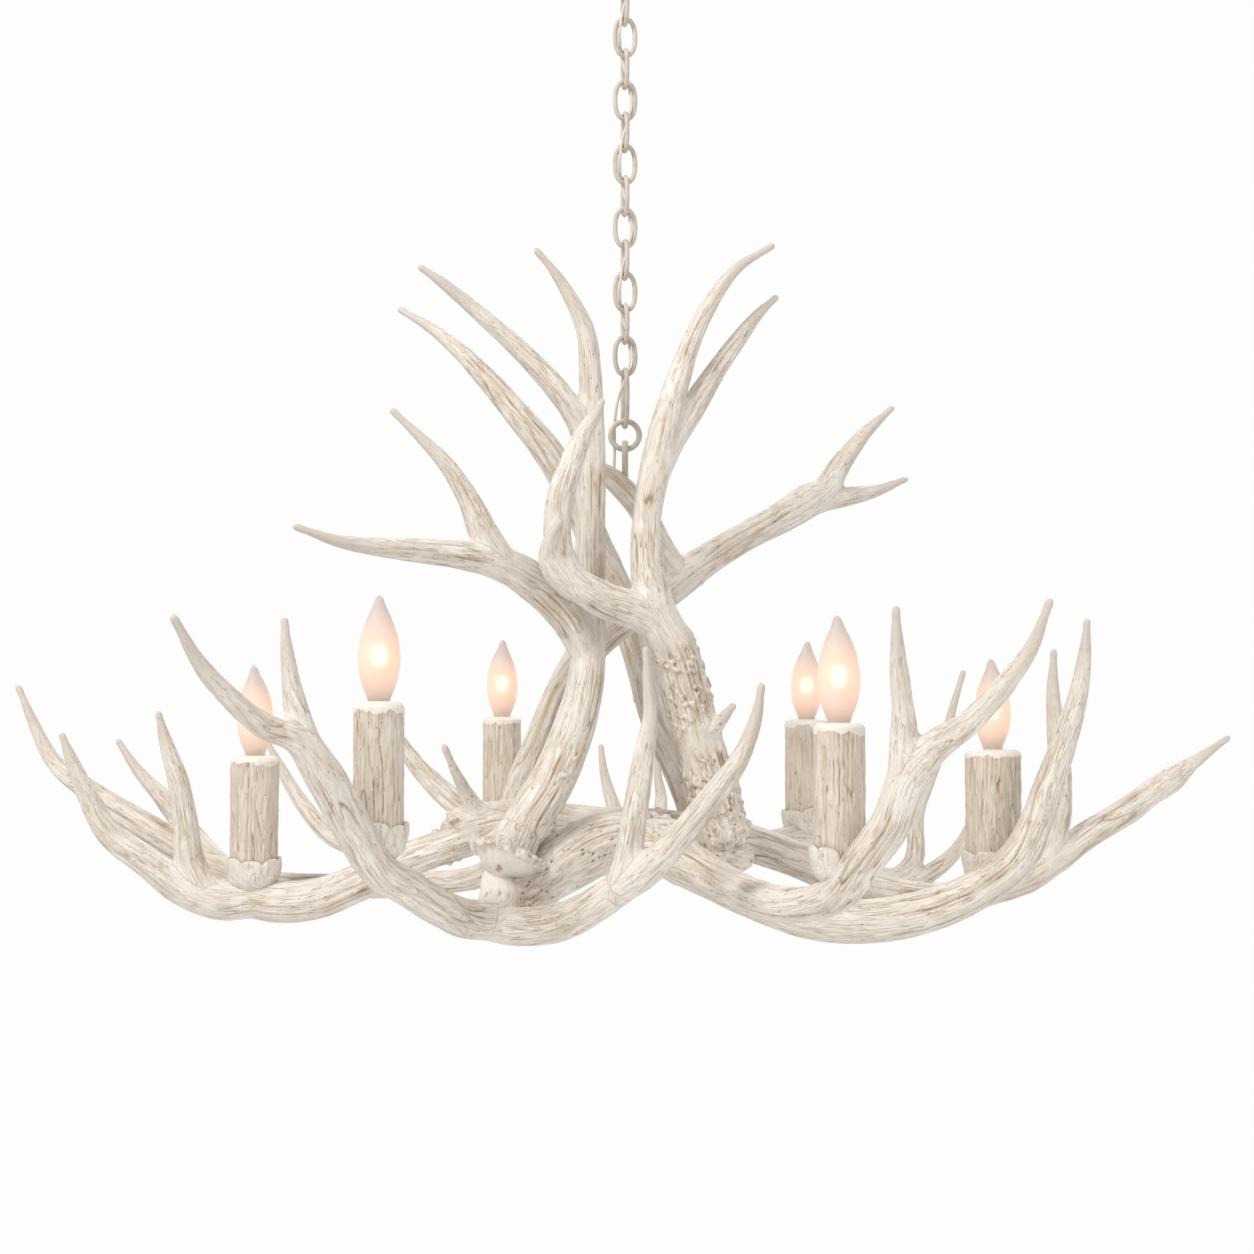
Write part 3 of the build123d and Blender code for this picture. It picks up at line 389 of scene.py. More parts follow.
# ---- antlers ----
# Branches of stations "x y z radius", in millimetres from the hub centre, as the solids have them.
HUB_Z = -0.8002
STATIONS = {
    "hub_casting": [
        "-97 -97 -46 14, -93 -94 -43 18, -78 -85 -32 22, -50 -72 -14 25, -17 -58 2 25, 25 -50 3 21, "
        "58 -50 -4 19, 84 -50 -8 15",
        "-150 -33 8 12, -145 -32 9 16.5, -132 -28 11 20, -112 -24 15 20.5, -82 -15 12 24, -22 0 4 26, "
        "31 10 3 24, 72 22 1 20, 88 26 0 16",
        "-100 -22 8 11, -112 -26 14 14, -122 -30 23 11.5, -129 -33.5 32 8.6, -134.5 -36 42 6.4, "
        "-140 -40 54 4.8, -146 -43 67 3.4, -151 -45 79 2.3",
        "-20 -40 0 24, -20 10 0 24",
    ],
    "upper_front_left_antler": [
        "-101.6 -104.6 -21.5 7, -101 -104 -19.5 13.5, -99.6 -103 -15.8 20, -97.5 -101.5 -11.5 25.5, "
        "-95.8 -100 -7.5 28.5, -94.7 -99 -4.6 31, -93.6 -98 -2.2 27, -92 -97 1.5 22, -88 -95 8 19.5, "
        "-80 -90 22 18.8, -62 -82 50 18.5, -43 -68 96 17.5, -33 -58 137 15.5, -30 -52 188 14, "
        "-29 -50 255 12.5, -29 -51 331 13, -29 -54 385 10, -33 -62 430 8, -47 -71 460 6, -62 -78 482 3.5, "
        "-72 -82 493 2.4",
        "-29 -51 330 12, -42 -55 362 11, -68 -62 394 9.5, -98 -70 423 8, -130 -80 450 6, -152 -88 467 4.5, "
        "-167 -92 477 2.4",
        "-32 -56 160 14, -50 -66 194 16.5, -74 -80 217 16, -102 -98 232 14.5, -133 -120 237 12, "
        "-165 -140 239 10, -195 -160 240 7.5, -223 -176 243 5, -252 -190 252 2.4",
        "-100 -98 232 13, -115 -108 256 12, -127 -113 283 9.5, -144 -118 310 7, -165 -122 332 4.5, "
        "-186 -124 352 2.4",
    ],
    "upper_front_right_antler": [
        "84 -55 0 12, 83 -55 4 19, 81 -55 10 22.5, 78 -56 22 21.5, 74 -58 45 20, 64 -62 83 19, "
        "54 -66 120 18.5, 43 -72 158 18.5, 26 -80 192 17.5, 18 -77 232 13.5, 19 -70 278 12, 26 -66 316 13.5, "
        "39 -62 371 11.5, 53 -58 415 8.5, 71 -55 454 7, 95 -52 487 4.5, 123 -48 506 2.4",
        "31 -77 183 16, 6 -86 195 15.5, -20 -95 204 14.5, -43 -103 219 13, -54 -106 244 12, -53 -105 283 11, "
        "-46 -102 308 10, -35 -99 336 8, -24 -96 356 5, -20 -95 364 3",
        "-42 -102 210 10, -57 -112 221 8.5, -64 -116 235 6.5, -61 -119 250 5, -53 -121 263 2.4",
        "25 -66 304 11, 39 -56 339 11.5, 55 -49 365 11, 74 -42 396 9, 96 -36 428 7, 115 -30 453 4.5, "
        "128 -26 466 2.4",
        "56 -62 76 8, 66 -68 90 9, 75 -73 99 7.6, 82 -76.5 107 5, 87.5 -79 113.5 3.2",
    ],
    "upper_rear_left_antler": [
        "-92 6 24 18, -87 10 42 18, -70 8 88 16.5, -53 2 130 15.5, -32 -4 165 15.5, -9 -4 187 16.5, "
        "20 0 208 17.5, 48 8 228 16.5, 72 18 245 14, 106 36 267 13, 143 55 288 14.5, 166 65 303 16, "
        "180 71 311 13, 197 78 338 9.5, 217 83 364 6.5, 243 90 389 2.4",
        "160 62 298 14, 178 71 304 12, 200 81 308 9.5, 228 93 314 6, 257 105 326 2.6",
        "44 6 230 14, 30 3 256 12, 13 0 288 11, -11 0 314 9.5, -32 0 326 7, -50 0 334 4",
    ],
    "upper_rear_right_antler": [
        "68 28 8 16, 67 33 18 18, 53 38 53 16.5, 28 42 111 16, 13 41 162 15, -4 40 211 15, -24 40 255 14.5, "
        "-43 41 297 14, -68 43 342 13.5, -98 47 380 12, -129 52 416 9.5, -166 60 452 6, -203 72 477 2.4",
    ],
    "lower_front_antler": [
        "-102 -90 -24 15, -101 -102 -38 17, -104 -122 -52 17, -121 -155 -52 16, -142 -200 -38 14.5, "
        "-163 -242 -19 14, -180 -276 -3 13.5, -196 -306 33 14.5, -212 -330 68 13.5, -226 -344 90 11, "
        "-246 -358 99 9, -266 -378 118 7.5, -283 -394 140 5.5, -296 -411 168 2.4",
        "-218 -336 78 11, -226 -341 104 9.5, -231 -340 127 7, -235 -338 152 4.5, -237 -336 170 2.4",
        "-116 -142 -54 14, -88 -134 -60 15.5, -55 -148 -56 15.5, -23 -178 -39 14, 0 -200 -21 13.5, "
        "18 -213 -8 12.5, 38 -226 13 10.5, 65 -242 46 9.5, 86 -252 77 7, 97 -258 107 4.5, 100 -262 126 2.2",
        "-4 -198 -26 12, 4 -208 8 10.5, 8 -212 35 10, 14 -216 73 8.5, 19 -220 107 6, 17 -224 137 3.8, "
        "16 -226 154 2.2",
    ],
    "lower_left_antler": [
        "-100 -38 14 13, -144 -46 0 14.5, -182 -38 -13 15, -222 -26 -32 16, -262 -12 -48 17.5, "
        "-296 -4 -52 18, -320 0 -49 18, -350 -2 -50 17.5, -378 -6 -40 16, -409 -12 -18 12.5, -440 -18 7 11, "
        "-459 -24 42 8.5, -472 -30 75 5, -477 -32 89 2.4",
        "-362 -4 -44 14, -374 -8 -15 13, -377 -14 22 10.5, -383 -20 57 9, -392 -26 88 5.5, -396 -30 107 2.4",
    ],
    "lower_far_left_antler": [
        "-92 -2 2 11, -108 18 -18 11.5, -130 33 -33 10.5, -182 42 -40 10.5, -254 52 -43 11.5, "
        "-323 62 -41 12.5, -374 68 -24 14, -420 74 2 13, -476 80 35 10.5, -518 84 67 7.5, -541 88 108 4.5, "
        "-552 90 132 2.4",
        "-362 67 -28 12, -395 84 4 10.5, -423 96 35 8, -448 104 60 5, -465 110 83 2.6",
    ],
    "lower_rear_left_antler": [
        "-62 5 2 13, -72 60 -10 13.5, -88 130 -17 13, -106 220 -19 12.5, -125 296 -11 13, -150 325 2 13, "
        "-182 340 25 12, -214 350 55 9.5, -241 356 93 6, -250 358 114 2.6",
        "-134 306 -10 11, -188 330 -26 10.5, -249 342 -30 10, -303 350 -16 9.5, -335 355 16 8, "
        "-360 360 55 5.5, -375 364 82 2.6",
    ],
    "lower_rear_antler": [
        "-2 8 2 14, 4 70 -10 14, 8 140 -20 14, 12 230 -30 13.5, 16 298 -28 12, 31 328 -3 9, 37 336 22 6.5, "
        "34 340 45 4.5, 33 342 64 2.6",
        "13 284 -30 11, -3 310 -7 9, -14 322 23 7, -22 328 52 4.5, -25 332 76 2.6",
    ],
    "lower_front_right_antler": [
        "10 -62 2 18, 30 -88 0 17.5, 56 -116 -12 15.5, 88 -168 -28 14, 119 -228 -34 13.5, 141 -264 -29 13.5, "
        "155 -288 -19 14, 171 -318 8 14, 186 -334 33 14, 197 -343 64 14.5, 212 -352 84 11.5, "
        "236 -362 102 8.5, 259 -371 128 7, 275 -378 152 5, 285 -386 180 2.2",
        "194 -341 56 13, 193 -348 90 10, 191 -354 113 7.5, 188 -359 138 6.5, 186 -364 158 4.5, "
        "185 -368 176 2.4",
    ],
    "lower_right_antler": [
        "20 -8 -2 15, 38 -22 -16 15.5, 66 -30 -29 15.5, 115 -34 -51 16, 165 -38 -64 18, 220 -42 -63 18.5, "
        "270 -45 -50 17.5, 306 -47 -31 16, 329 -50 -10 15.5, 344 -54 20 14, 355 -60 54 12.5, "
        "367 -66 91 10.5, 377 -72 129 8, 381 -77 162 5, 382 -80 183 2.4",
    ],
    "lower_far_right_antler": [
        "72 22 2 16, 101 23 -1 16.5, 149 18 -17 16, 196 10 -37 15, 243 4 -48 14, 282 0 -49 14, "
        "318 0 -41 13.5, 345 2 -32 13.5, 370 6 -17 13, 402 16 4 12, 445 28 28 12, 478 36 51 10.5, "
        "502 42 66 6.5, 535 52 87 2.4",
        "362 5 -20 11.5, 374 4 17 11.5, 377 3 52 10, 373 2 95 8, 371 2 130 5.5, 372 2 161 2.4",
        "462 33 38 9, 482 38 46 7.5, 495 42 54 5, 501 44 58 3",
    ],
    "lower_rear_right_antler": [
        "34 18 -2 13, 56 75 -12 14, 88 135 -14 14.5, 132 205 -16 14, 181 262 -14 13.5, 227 281 -40 13, "
        "266 289 -56 13, 290 295 -40 10, 296 300 11 7.5, 309 304 44 6.5, 324 308 80 5.5, 336 312 121 4, "
        "346 315 152 2.4",
        "262 288 -56 12, 290 295 -56 11, 314 301 -46 9, 334 306 -30 7.5, 352 312 -4 6, 367 318 27 4, "
        "376 322 54 2.4",
    ],
}
SAMPLE = 0.003  # between the rings of a branch
FULL_VOXEL = 0.0013
VOXEL = FULL_VOXEL
RING = 36  # points in each ring of a branch
THINNEST = 0.0030  # the least radius of a branch


def between(t, start, a, end, b):
    """The value at t on the straight line from a at the start to b at the end."""
    return (end - t) / (end - start) * a + (t - start) / (end - start) * b


def curve_through(stations):
    """Evenly spaced (x, y, z, radius) along a smooth curve through the stations, in metres."""
    keys = np.array([station.split() for station in stations.split(",")], float) / MM
    keys[:, 2] += HUB_Z
    keys = np.vstack([2 * keys[0] - keys[1], keys, 2 * keys[-1] - keys[-2]])
    out = []
    for p0, p1, p2, p3 in zip(keys, keys[1:], keys[2:], keys[3:]):
        gaps = (p1 - p0, p2 - p1, p3 - p2)
        spans = [max(np.linalg.norm(gap[:3]), 1e-5) ** 0.5 for gap in gaps]
        t0, t1 = 0.0, spans[0]
        t2, t3 = spans[0] + spans[1], sum(spans)
        steps = max(2, int(round(np.linalg.norm((p2 - p1)[:3]) / SAMPLE)))
        for t in np.linspace(t1, t2, steps, endpoint=False):
            a1 = between(t, t0, p0, t1, p1)
            a2 = between(t, t1, p1, t2, p2)
            a3 = between(t, t2, p2, t3, p3)
            out.append(between(t, t1, between(t, t0, a1, t2, a2), t2, between(t, t1, a2, t3, a3)))
    out.append(keys[-2])
    return np.array(out)


class Branch:
    """A branch's centre line with its frame, which turns with the line and doesn't twist."""

    def __init__(self, stations, parent=None):
        line = curve_through(stations)
        self.points, self.radius = line[:, :3], np.maximum(line[:, 3], THINNEST)
        steps = np.diff(self.points, axis=0)
        lengths = np.linalg.norm(steps, axis=1)
        along = steps / lengths[:, None]
        self.along = np.vstack([along, along[-1:]])
        self.along[1:-1] = self.along[1:-1] + self.along[:-2]
        self.along /= np.linalg.norm(self.along, axis=1)[:, None]
        start, side = 0.0, np.array([0.2, 1.0, 0.3])
        if parent is not None:
            near = np.argmin(np.linalg.norm(parent.points - self.points[0], axis=1))
            start, side = parent.run[near], parent.side[near]
        self.run = start + np.concatenate([[0], np.cumsum(lengths)])
        sides = []
        for direction in self.along:
            side = side - direction * side.dot(direction)
            side = side / np.linalg.norm(side)
            sides.append(side)
        self.side = np.array(sides)
        self.over = np.cross(self.along, self.side)

    def spot(self, reach, turn):
        """The index nearest to a run, and the direction out of the branch there at a turn."""
        k = int(np.argmin(np.abs(self.run - reach)))
        return k, cos(turn) * self.side[k] + sin(turn) * self.over[k]


def turned(count):
    return np.linspace(0, 2 * pi, count, endpoint=False)


def band_faces(rows, turns, wrapped=False):
    """Quads between rows of points that run all the way round."""
    faces = []
    for row in range(rows if wrapped else rows - 1):
        after = (row + 1) % rows
        for k in range(turns):
            beside = (k + 1) % turns
            faces.append((row * turns + k, row * turns + beside, after * turns + beside, after * turns + k))
    return faces


def tube(branch):
    """A closed tube round a branch with rounded ends, as (points, faces)."""
    turn = turned(RING)[:, None]
    r0, r1 = branch.radius[0], branch.radius[-1]
    start, end = branch.points[0], branch.points[-1]
    butt, nib = ((0.35, 0.95), (0.75, 0.66), (0.93, 0.36)), ((0.96, 0.65), (0.82, 1.15), (0.46, 1.6))
    rows = [(start - branch.along[0] * r0 * 0.45 * b, r0 * a, 0) for a, b in butt]
    rows += [(p, r, k) for k, (p, r) in enumerate(zip(branch.points, branch.radius))]
    rows += [(end + branch.along[-1] * r1 * b, r1 * a, -1) for a, b in nib]
    rings = [centre + radius * (np.cos(turn) * branch.side[k] + np.sin(turn) * branch.over[k])
             for centre, radius, k in rows]
    points = np.vstack(rings + [rows[0][0][None], rows[-1][0][None]])
    faces, last = band_faces(len(rings), RING), (len(rings) - 1) * RING
    for k in range(RING):
        faces.append((len(points) - 2, (k + 1) % RING, k))
        faces.append((len(points) - 1, last + k, last + (k + 1) % RING))
    return points, faces


def ball(centre, axes, radii):
    """A small faceted ellipsoid, as (points, faces)."""
    points = []
    rows, count = 5, 8
    for row in range(1, rows):
        lift = pi * row / rows
        for k in range(count):
            turn = 2 * pi * k / count
            local = (sin(lift) * cos(turn), sin(lift) * sin(turn), cos(lift))
            points.append(centre + sum(local[m] * radii[m] * axes[m] for m in range(3)))
    points.append(centre + radii[2] * axes[2])
    points.append(centre - radii[2] * axes[2])
    faces = [face[::-1] for face in band_faces(rows - 1, count)]
    last = (rows - 2) * count
    for k in range(count):
        faces.append((len(points) - 2, k, (k + 1) % count))
        faces.append((len(points) - 1, last + (k + 1) % count, last + k))
    return np.array(points), faces


def pearls(branch, random, start, end, count, size, lift):
    """Beads of antler strewn over a stretch of a branch, as (points, faces) pairs."""
    made = []
    length = branch.run[-1] - branch.run[0]
    for _ in range(count):
        reach = branch.run[0] + np.clip(start + (end - start) * random.random(), 0, length)
        k, out = branch.spot(reach, 2 * pi * random.random())
        r = size * (0.55 + 0.75 * random.random())
        stretch = 1.0 + 0.9 * random.random()
        axes = (np.cross(branch.along[k], out), branch.along[k], out)
        made.append(ball(branch.points[k] + out * (branch.radius[k] + r * lift), axes, (r, r * stretch, r)))
    return made


def drips(branch, random, start, end, count, size):
    """Hooked ridges over a stretch of a branch: short rows of balls that shrink and curl."""
    made = []
    for _ in range(count):
        reach = branch.run[0] + start + (end - start) * random.random()
        turn = 2 * pi * random.random()
        heading = 1.5 * (random.random() - 0.5) + pi * (random.random() < 0.35)
        curl = (0.35 + 0.5 * random.random()) * (1 if random.random() < 0.5 else -1)
        size_here = size * (0.7 + 0.6 * random.random())
        for share in (1.0, 0.88, 0.76, 0.66, 0.56):
            k, out = branch.spot(reach, turn)
            axes = (np.cross(branch.along[k], out), branch.along[k], out)
            r = size_here * share
            place = branch.points[k] + branch.along[k] * (reach - branch.run[k])
            place = place + out * (branch.radius[k] + 0.02 * r)
            made.append(ball(place, axes, (r, r, r)))
            reach += cos(heading) * r
            turn += sin(heading) * r / branch.radius[k]
            heading += curl
    return made


def read(elements, field, width, kind=float):
    """One field of a mesh's elements, as an array with a row for each."""
    flat = np.empty(len(elements) * width, kind)
    elements.foreach_get(field, flat)
    return flat.reshape(-1, width)


def points_of(data):
    return read(data.vertices, "co", 3)


def normals_of(data):
    return read(data.vertices, "normal", 3)


def edges_of(data):
    return read(data.edges, "vertices", 2, np.int64)


def set_points(data, points):
    data.vertices.foreach_set("co", points.astype(np.float32).ravel())
    data.update()


def store(data, **attributes):
    """Stores the numbers or vectors that the materials read at each point."""
    for name, values in attributes.items():
        kind, field = ("FLOAT_VECTOR", "vector") if values.ndim == 2 else ("FLOAT", "value")
        made = data.attributes.new(name, kind, "POINT")
        made.data.foreach_set(field, values.astype(np.float32).ravel())


CRUMB_ROUNDS = 12  # a part that is named from end to end in fewer rounds is a crumb


def drop_crumbs(data):
    """Deletes the tiny loose parts that a voxel skin can leave."""
    edges = edges_of(data)
    label = np.arange(len(data.vertices))
    for _ in range(CRUMB_ROUNDS):
        least = label[edges].min(1)
        np.minimum.at(label, edges[:, 0], least)
        np.minimum.at(label, edges[:, 1], least)
    whole = np.ones(len(label), bool)
    whole[label[edges[label[edges[:, 0]] != label[edges[:, 1]]]].ravel()] = False
    crumbs = np.flatnonzero(whole[label])
    if len(crumbs):
        work = bmesh.new()
        work.from_mesh(data)
        work.verts.ensure_lookup_table()
        bmesh.ops.delete(work, geom=[work.verts[int(index)] for index in crumbs], context="VERTS")
        work.to_mesh(data)
        work.free()


def remeshed(shells, name, material, voxel):
    """One closed skin round overlapping shells, as an object."""
    points, faces, offset = [], [], 0
    for shell_points, shell_faces in shells:
        points.append(shell_points)
        faces += [tuple(index + offset for index in face) for face in shell_faces]
        offset += len(shell_points)
    made = mesh_object(name, np.vstack(points), faces, material)
    remesh = made.modifiers.new("skin", "REMESH")
    remesh.mode = "VOXEL"
    remesh.voxel_size = voxel
    graph = bpy.context.evaluated_depsgraph_get()
    skin = bpy.data.meshes.new_from_object(made.evaluated_get(graph))
    made.modifiers.clear()
    old, made.data = made.data, skin
    bpy.data.meshes.remove(old)
    drop_crumbs(skin)
    skin.name = name
    skin.materials.clear()
    skin.materials.append(material)
    return made


def neighbour_mean(points, edges, count):
    """The mean of each point's neighbours."""
    total = np.empty_like(points)
    a, b = edges[:, 0], edges[:, 1]
    for k in range(points.shape[1]):
        total[:, k] = np.bincount(a, points[b, k], len(points)) + np.bincount(b, points[a, k], len(points))
    return total / count[:, None]


def smoothed(points, edges, rounds, weight=None, shrink=False):
    """Smooths the points; it keeps the volume unless shrink is set."""
    count = np.maximum(np.bincount(edges.ravel(), minlength=len(points)), 1)
    for _ in range(rounds):
        for factor in (0.5,) if shrink else (0.5, -0.53):
            step = factor * (neighbour_mean(points, edges, count) - points)
            points = points + (step if weight is None else step * weight[:, None])
    return points


def cavity_of(data, rounds, gain):
    """How deep each point lies below its surroundings: 0 on open surface, 1 in a sharp recess."""
    points = points_of(data)
    around = smoothed(points, edges_of(data), rounds, shrink=True)
    depth = ((around - points) * normals_of(data)).sum(1)
    return np.clip(depth * gain, 0, 1)


FAR = 9.0  # a share that no branch comes near
STAIN_DEPTH = 0.012
CHUNK = 8000  # points whose distances are held at once


def on_branches(points, branches):
    """For each point: its grain coordinates in mm, its branch's radius, its run along that branch,
    and how much closer that branch is than the next."""
    best = np.full((len(branches), len(points)), FAR)
    index = np.zeros(best.shape, int)
    for b, branch in enumerate(branches):
        for low in range(0, len(points), CHUNK):
            part = points[low:low + CHUNK]
            square = (part**2).sum(1)[:, None] - 2 * part @ branch.points.T
            square = square + (branch.points**2).sum(1)[None]
            share = np.sqrt(np.maximum(square, 0)) / (branch.radius + 0.004)
            index[b, low:low + CHUNK] = share.argmin(1)
            best[b, low:low + CHUNK] = share.min(1)
    chosen = best.argmin(0)
    order = np.sort(best, axis=0)
    second = order[1] - order[0] if len(branches) > 1 else np.full(len(points), FAR)
    grain = np.zeros((len(points), 3))
    radius, run = np.zeros(len(points)), np.zeros(len(points))
    for b, branch in enumerate(branches):
        mine = chosen == b
        k = index[b][mine]
        away = points[mine] - branch.points[k]
        run[mine] = branch.run[k] + (away * branch.along[k]).sum(1)
        grain[mine, 0] = (away * branch.side[k]).sum(1) * MM
        grain[mine, 1] = (away * branch.over[k]).sum(1) * MM
        radius[mine] = branch.radius[k]
    grain[:, 2] = run * MM
    return grain, radius, run, second


def streaks(grain, across, along, seed):
    """Noise drawn out along the grain, with its scales per millimetre."""
    return noise(grain * (across, across, along), seed)


def grooves(grain, across, along, width, seed):
    """Long grooves along the grain: 1 on each one's line, falling off over its width in millimetres."""
    turn = np.arctan2(grain[:, 1], grain[:, 0])
    aside = 0.6 * np.stack([-np.sin(turn), np.cos(turn), np.zeros(len(turn))], 1)
    slope = (streaks(grain + aside, across, along, seed) - streaks(grain - aside, across, along, seed)) / 1.2
    away = np.abs(streaks(grain, across, along, seed)) / np.maximum(np.abs(slope), 0.3 * across)
    return np.exp(-((away / width) ** 2))


def bark(grain, seed):
    """The grain's furrows, creases and ridges: (deep, fine, ridge), each from 0 or -1 to 1."""
    meander = 2.2 * streaks(grain, 0.05, 0.018, seed + 1) + 0.8 * streaks(grain, 0.12, 0.05, seed + 11)
    bent = grain + meander[:, None] * (1, 0.7, 0)
    deep, fine = grooves(bent, 0.17, 0.012, 1.25, seed + 2), grooves(bent, 0.30, 0.018, 0.95, seed + 3)
    deep = deep * smoothstep(streaks(grain, 0.08, 0.02, seed + 4), -0.15, 0.25)
    fine = fine * smoothstep(streaks(grain, 0.11, 0.03, seed + 5), -0.35, 0.05)
    ridge = 0.6 * streaks(bent, 0.15, 0.011, seed + 6) + 0.4 * streaks(bent, 0.33, 0.02, seed + 7)
    return deep, fine, ridge


def carve(made, branches, seed, rough=(), smooth_base=0.0, fineness=1.0, marks=()):
    """Blends the forks, then cuts the grain into the skin and stores what the resin material reads."""
    data = made.data
    points, edges = points_of(data), edges_of(data)
    grain, radius, run, second = on_branches(points, branches)
    step = FULL_VOXEL / (VOXEL * fineness)  # a finer skin takes more rounds
    fork = smoothstep(second, 0.8, 0.15)
    points = smoothed(points, edges, int(6 * step))
    points = smoothed(points, edges, int(14 * step), weight=1 - smoothstep(radius, 0.006, 0.012))
    if len(branches) > 1:
        points = smoothed(points, edges, int(28 * step**2), weight=fork, shrink=True)
    set_points(data, points)
    normals = normals_of(data)
    furrow, crease, ridge = bark(grain, seed)
    thick = smoothstep(radius, 0.0025, 0.010)
    worn = np.zeros(len(points))
    if smooth_base:
        worn = 1 - smoothstep(run, smooth_base * 0.85, smooth_base * 1.1)
    calm = (1 - 0.75 * fork) * (1 - worn)
    coarse = np.zeros(len(points))
    for start, end, gain in rough:
        inside = smoothstep(run, start - 0.006, start + 0.01)
        coarse = np.maximum(coarse, gain * inside * smoothstep(run, end, end - 0.06))
    lumps = noise(points * MM / 26.0, seed + 8) * 0.7 + noise(points * MM / 11.0, seed + 9) * 0.25
    warts = bumps(grain * (0.17, 0.17, 0.09), seed + 20, 0.16) * smoothstep(radius, 0.005, 0.012)
    height = (
        thick * (0.55 * ridge * (1 - 0.8 * worn) * (1 - 0.9 * fork) + lumps * (0.5 + 0.2 * coarse))
        - thick * calm * (0.90 - 0.55 * coarse) * furrow
        - thick * calm * (0.60 - 0.3 * coarse) * crease
        + calm * 0.75 * warts
    )
    if coarse.any():
        knobs = bumps(grain * (0.24, 0.24, 0.16), seed + 40, 0.5)
        holes = bumps(grain * (0.22, 0.22, 0.16), seed + 60, 0.4)
        height = height + coarse * calm * (0.5 * knobs - 2.0 * holes)
    set_points(data, points + normals * (height / MM)[:, None])
    cavity = cavity_of(data, 6, 1400.0) * (1 - 0.8 * fork)
    hidden = np.maximum(worn, 0.40 * fork)
    for x, y, z, wide, high in marks:
        away = (points - (x, y, z)) / (wide, STAIN_DEPTH, high)
        stain = np.sqrt((away**2).sum(1)) + 0.5 * noise(points * MM / 2.2, seed + 70)
        stain = smoothstep(stain, 1.05, 0.75)
        hidden = hidden * (1 - stain)
        cavity = np.maximum(cavity, 0.62 * stain * (0.75 + 0.4 * noise(points * MM / 1.1, seed + 71)))
    furrow = np.clip(0.9 * furrow + 0.4 * crease, 0, 1) * thick * calm
    # tip is 1 on the thinnest tips, where the antler material gives them the darker cap colour, partly wash
    # and partly a painted shade; it is below 0 where the base is worn and at forks.
    tip = (1 - smoothstep(radius, 0.0028, 0.0095)) * (1 - hidden) - hidden
    store(data, grain=grain, furrow=furrow, cavity=np.clip(cavity, 0, 1), tip=tip)
    data.shade_smooth()


# How antlers are worked, with places in metres along a branch:
# beads (branch, start, end, count, size, lift); drips, or hooked ridges (branch, start, end, count, size);
# rough stretches of knobs and holes (start, end, gain); smooth_base, how far the base is worn;
# marks of the wash (x, y, z, half width, half height); fineness, the skin's share of VOXEL.
WORK = {
    "hub_casting": dict(
        beads=[(0, 0.0, 0.02, 26, 0.0030, 0.2), (0, 0.09, 0.2, 46, 0.0026, 0.0),
               (1, 0.0, 0.03, 34, 0.0030, 0.1), (1, 0.14, 0.25, 40, 0.0026, 0.0)],
        drips=[(0, 0.0, 0.10, 16, 0.0022), (1, 0.01, 0.10, 16, 0.0022), (1, 0.14, 0.25, 12, 0.0022)],
        rough=[(0.0, 0.30, 1.0)],
        fineness=0.8,
    ),
    "upper_front_left_antler": dict(
        beads=[(0, 0.015, 0.0185, 120, 0.0024, 0.3)],
        drips=[(0, 0.03, 0.13, 22, 0.0016)],
        rough=[(0.028, 0.16, 0.4)],
        smooth_base=0.0155,
        marks=[(-0.1005, -0.1215, HUB_Z - 0.0150, 0.0036, 0.0048)],
        fineness=0.85,
    ),
    "upper_front_right_antler": dict(
        beads=[(0, 0.0, 0.012, 90, 0.0024, 0.35), (0, 0.01, 0.06, 120, 0.0019, 0.3)],
        drips=[(0, 0.01, 0.175, 150, 0.0024), (0, 0.16, 0.25, 26, 0.0019), (4, 0.004, 0.03, 6, 0.0016)],
        rough=[(0.01, 0.24, 0.8)],
        fineness=0.68,
    ),
    "lower_front_right_antler": dict(beads=[(0, 0.0, 0.05, 40, 0.0026, 0.15)], rough=[(0.0, 0.09, 0.8)]),
    "lower_left_antler": dict(beads=[(0, 0.02, 0.06, 18, 0.0022, 0.1)], rough=[(0.0, 0.10, 0.6)]),
    "lower_front_antler": dict(smooth_base=0.03),
    "upper_rear_left_antler": dict(rough=[(0.0, 0.08, 0.6)]),
    "upper_rear_right_antler": dict(rough=[(0.0, 0.08, 0.6)]),
}

for number, (name, spines) in enumerate(STATIONS.items()):
    random = np.random.default_rng(100 + number)
    beam = Branch(spines[0])
    branches = [beam] + [Branch(stations, beam) for stations in spines[1:]]
    shells = [tube(branch) for branch in branches]
    work = dict(WORK.get(name, {}))
    for which, *bead in work.pop("beads", ()):
        shells += pearls(branches[which], random, *bead)
    for which, *drip in work.pop("drips", ()):
        shells += drips(branches[which], random, *drip)
    piece = remeshed(shells, f"{name}_carved", ANTLER, VOXEL * work.get("fineness", 1.0))
    carve(piece, branches, 1000 * number, **work)
    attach(piece, "fixture")
    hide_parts(name)

# ---- candles ----
CUP_HEIGHT, CUP_FLOOR, SLEEVE_LENGTH, BULB_SINK = 0.024, 0.014, 0.098, 0.004
# Each candle's place on its arm: (x, y, height of the arm's line over the hub, arm radius, sleeve radius).
CANDLES = {
    1: (-0.180, -0.264, -0.003, 0.0135, 0.0185),
    2: (-0.320, 0.0, -0.049, 0.018, 0.0205),
    3: (-0.125, 0.296, -0.011, 0.013, 0.0195),
    4: (0.181, 0.262, -0.014, 0.0135, 0.022),
    5: (0.155, -0.281, -0.019, 0.014, 0.019),
    6: (0.318, 0.0, -0.041, 0.0135, 0.024),
}


def lathe(name, grid, material):
    """A mesh from a grid of points, rows by turns, closed both ways."""
    rows, turns, _ = grid.shape
    return mesh_object(name, grid.reshape(-1, 3), band_faces(rows, turns, wrapped=True), material)


def ring(radius, turn, x=0.0, y=0.0, z=0.0):
    return np.stack([x + radius * np.cos(turn), y + radius * np.sin(turn), z + 0 * turn], 1)


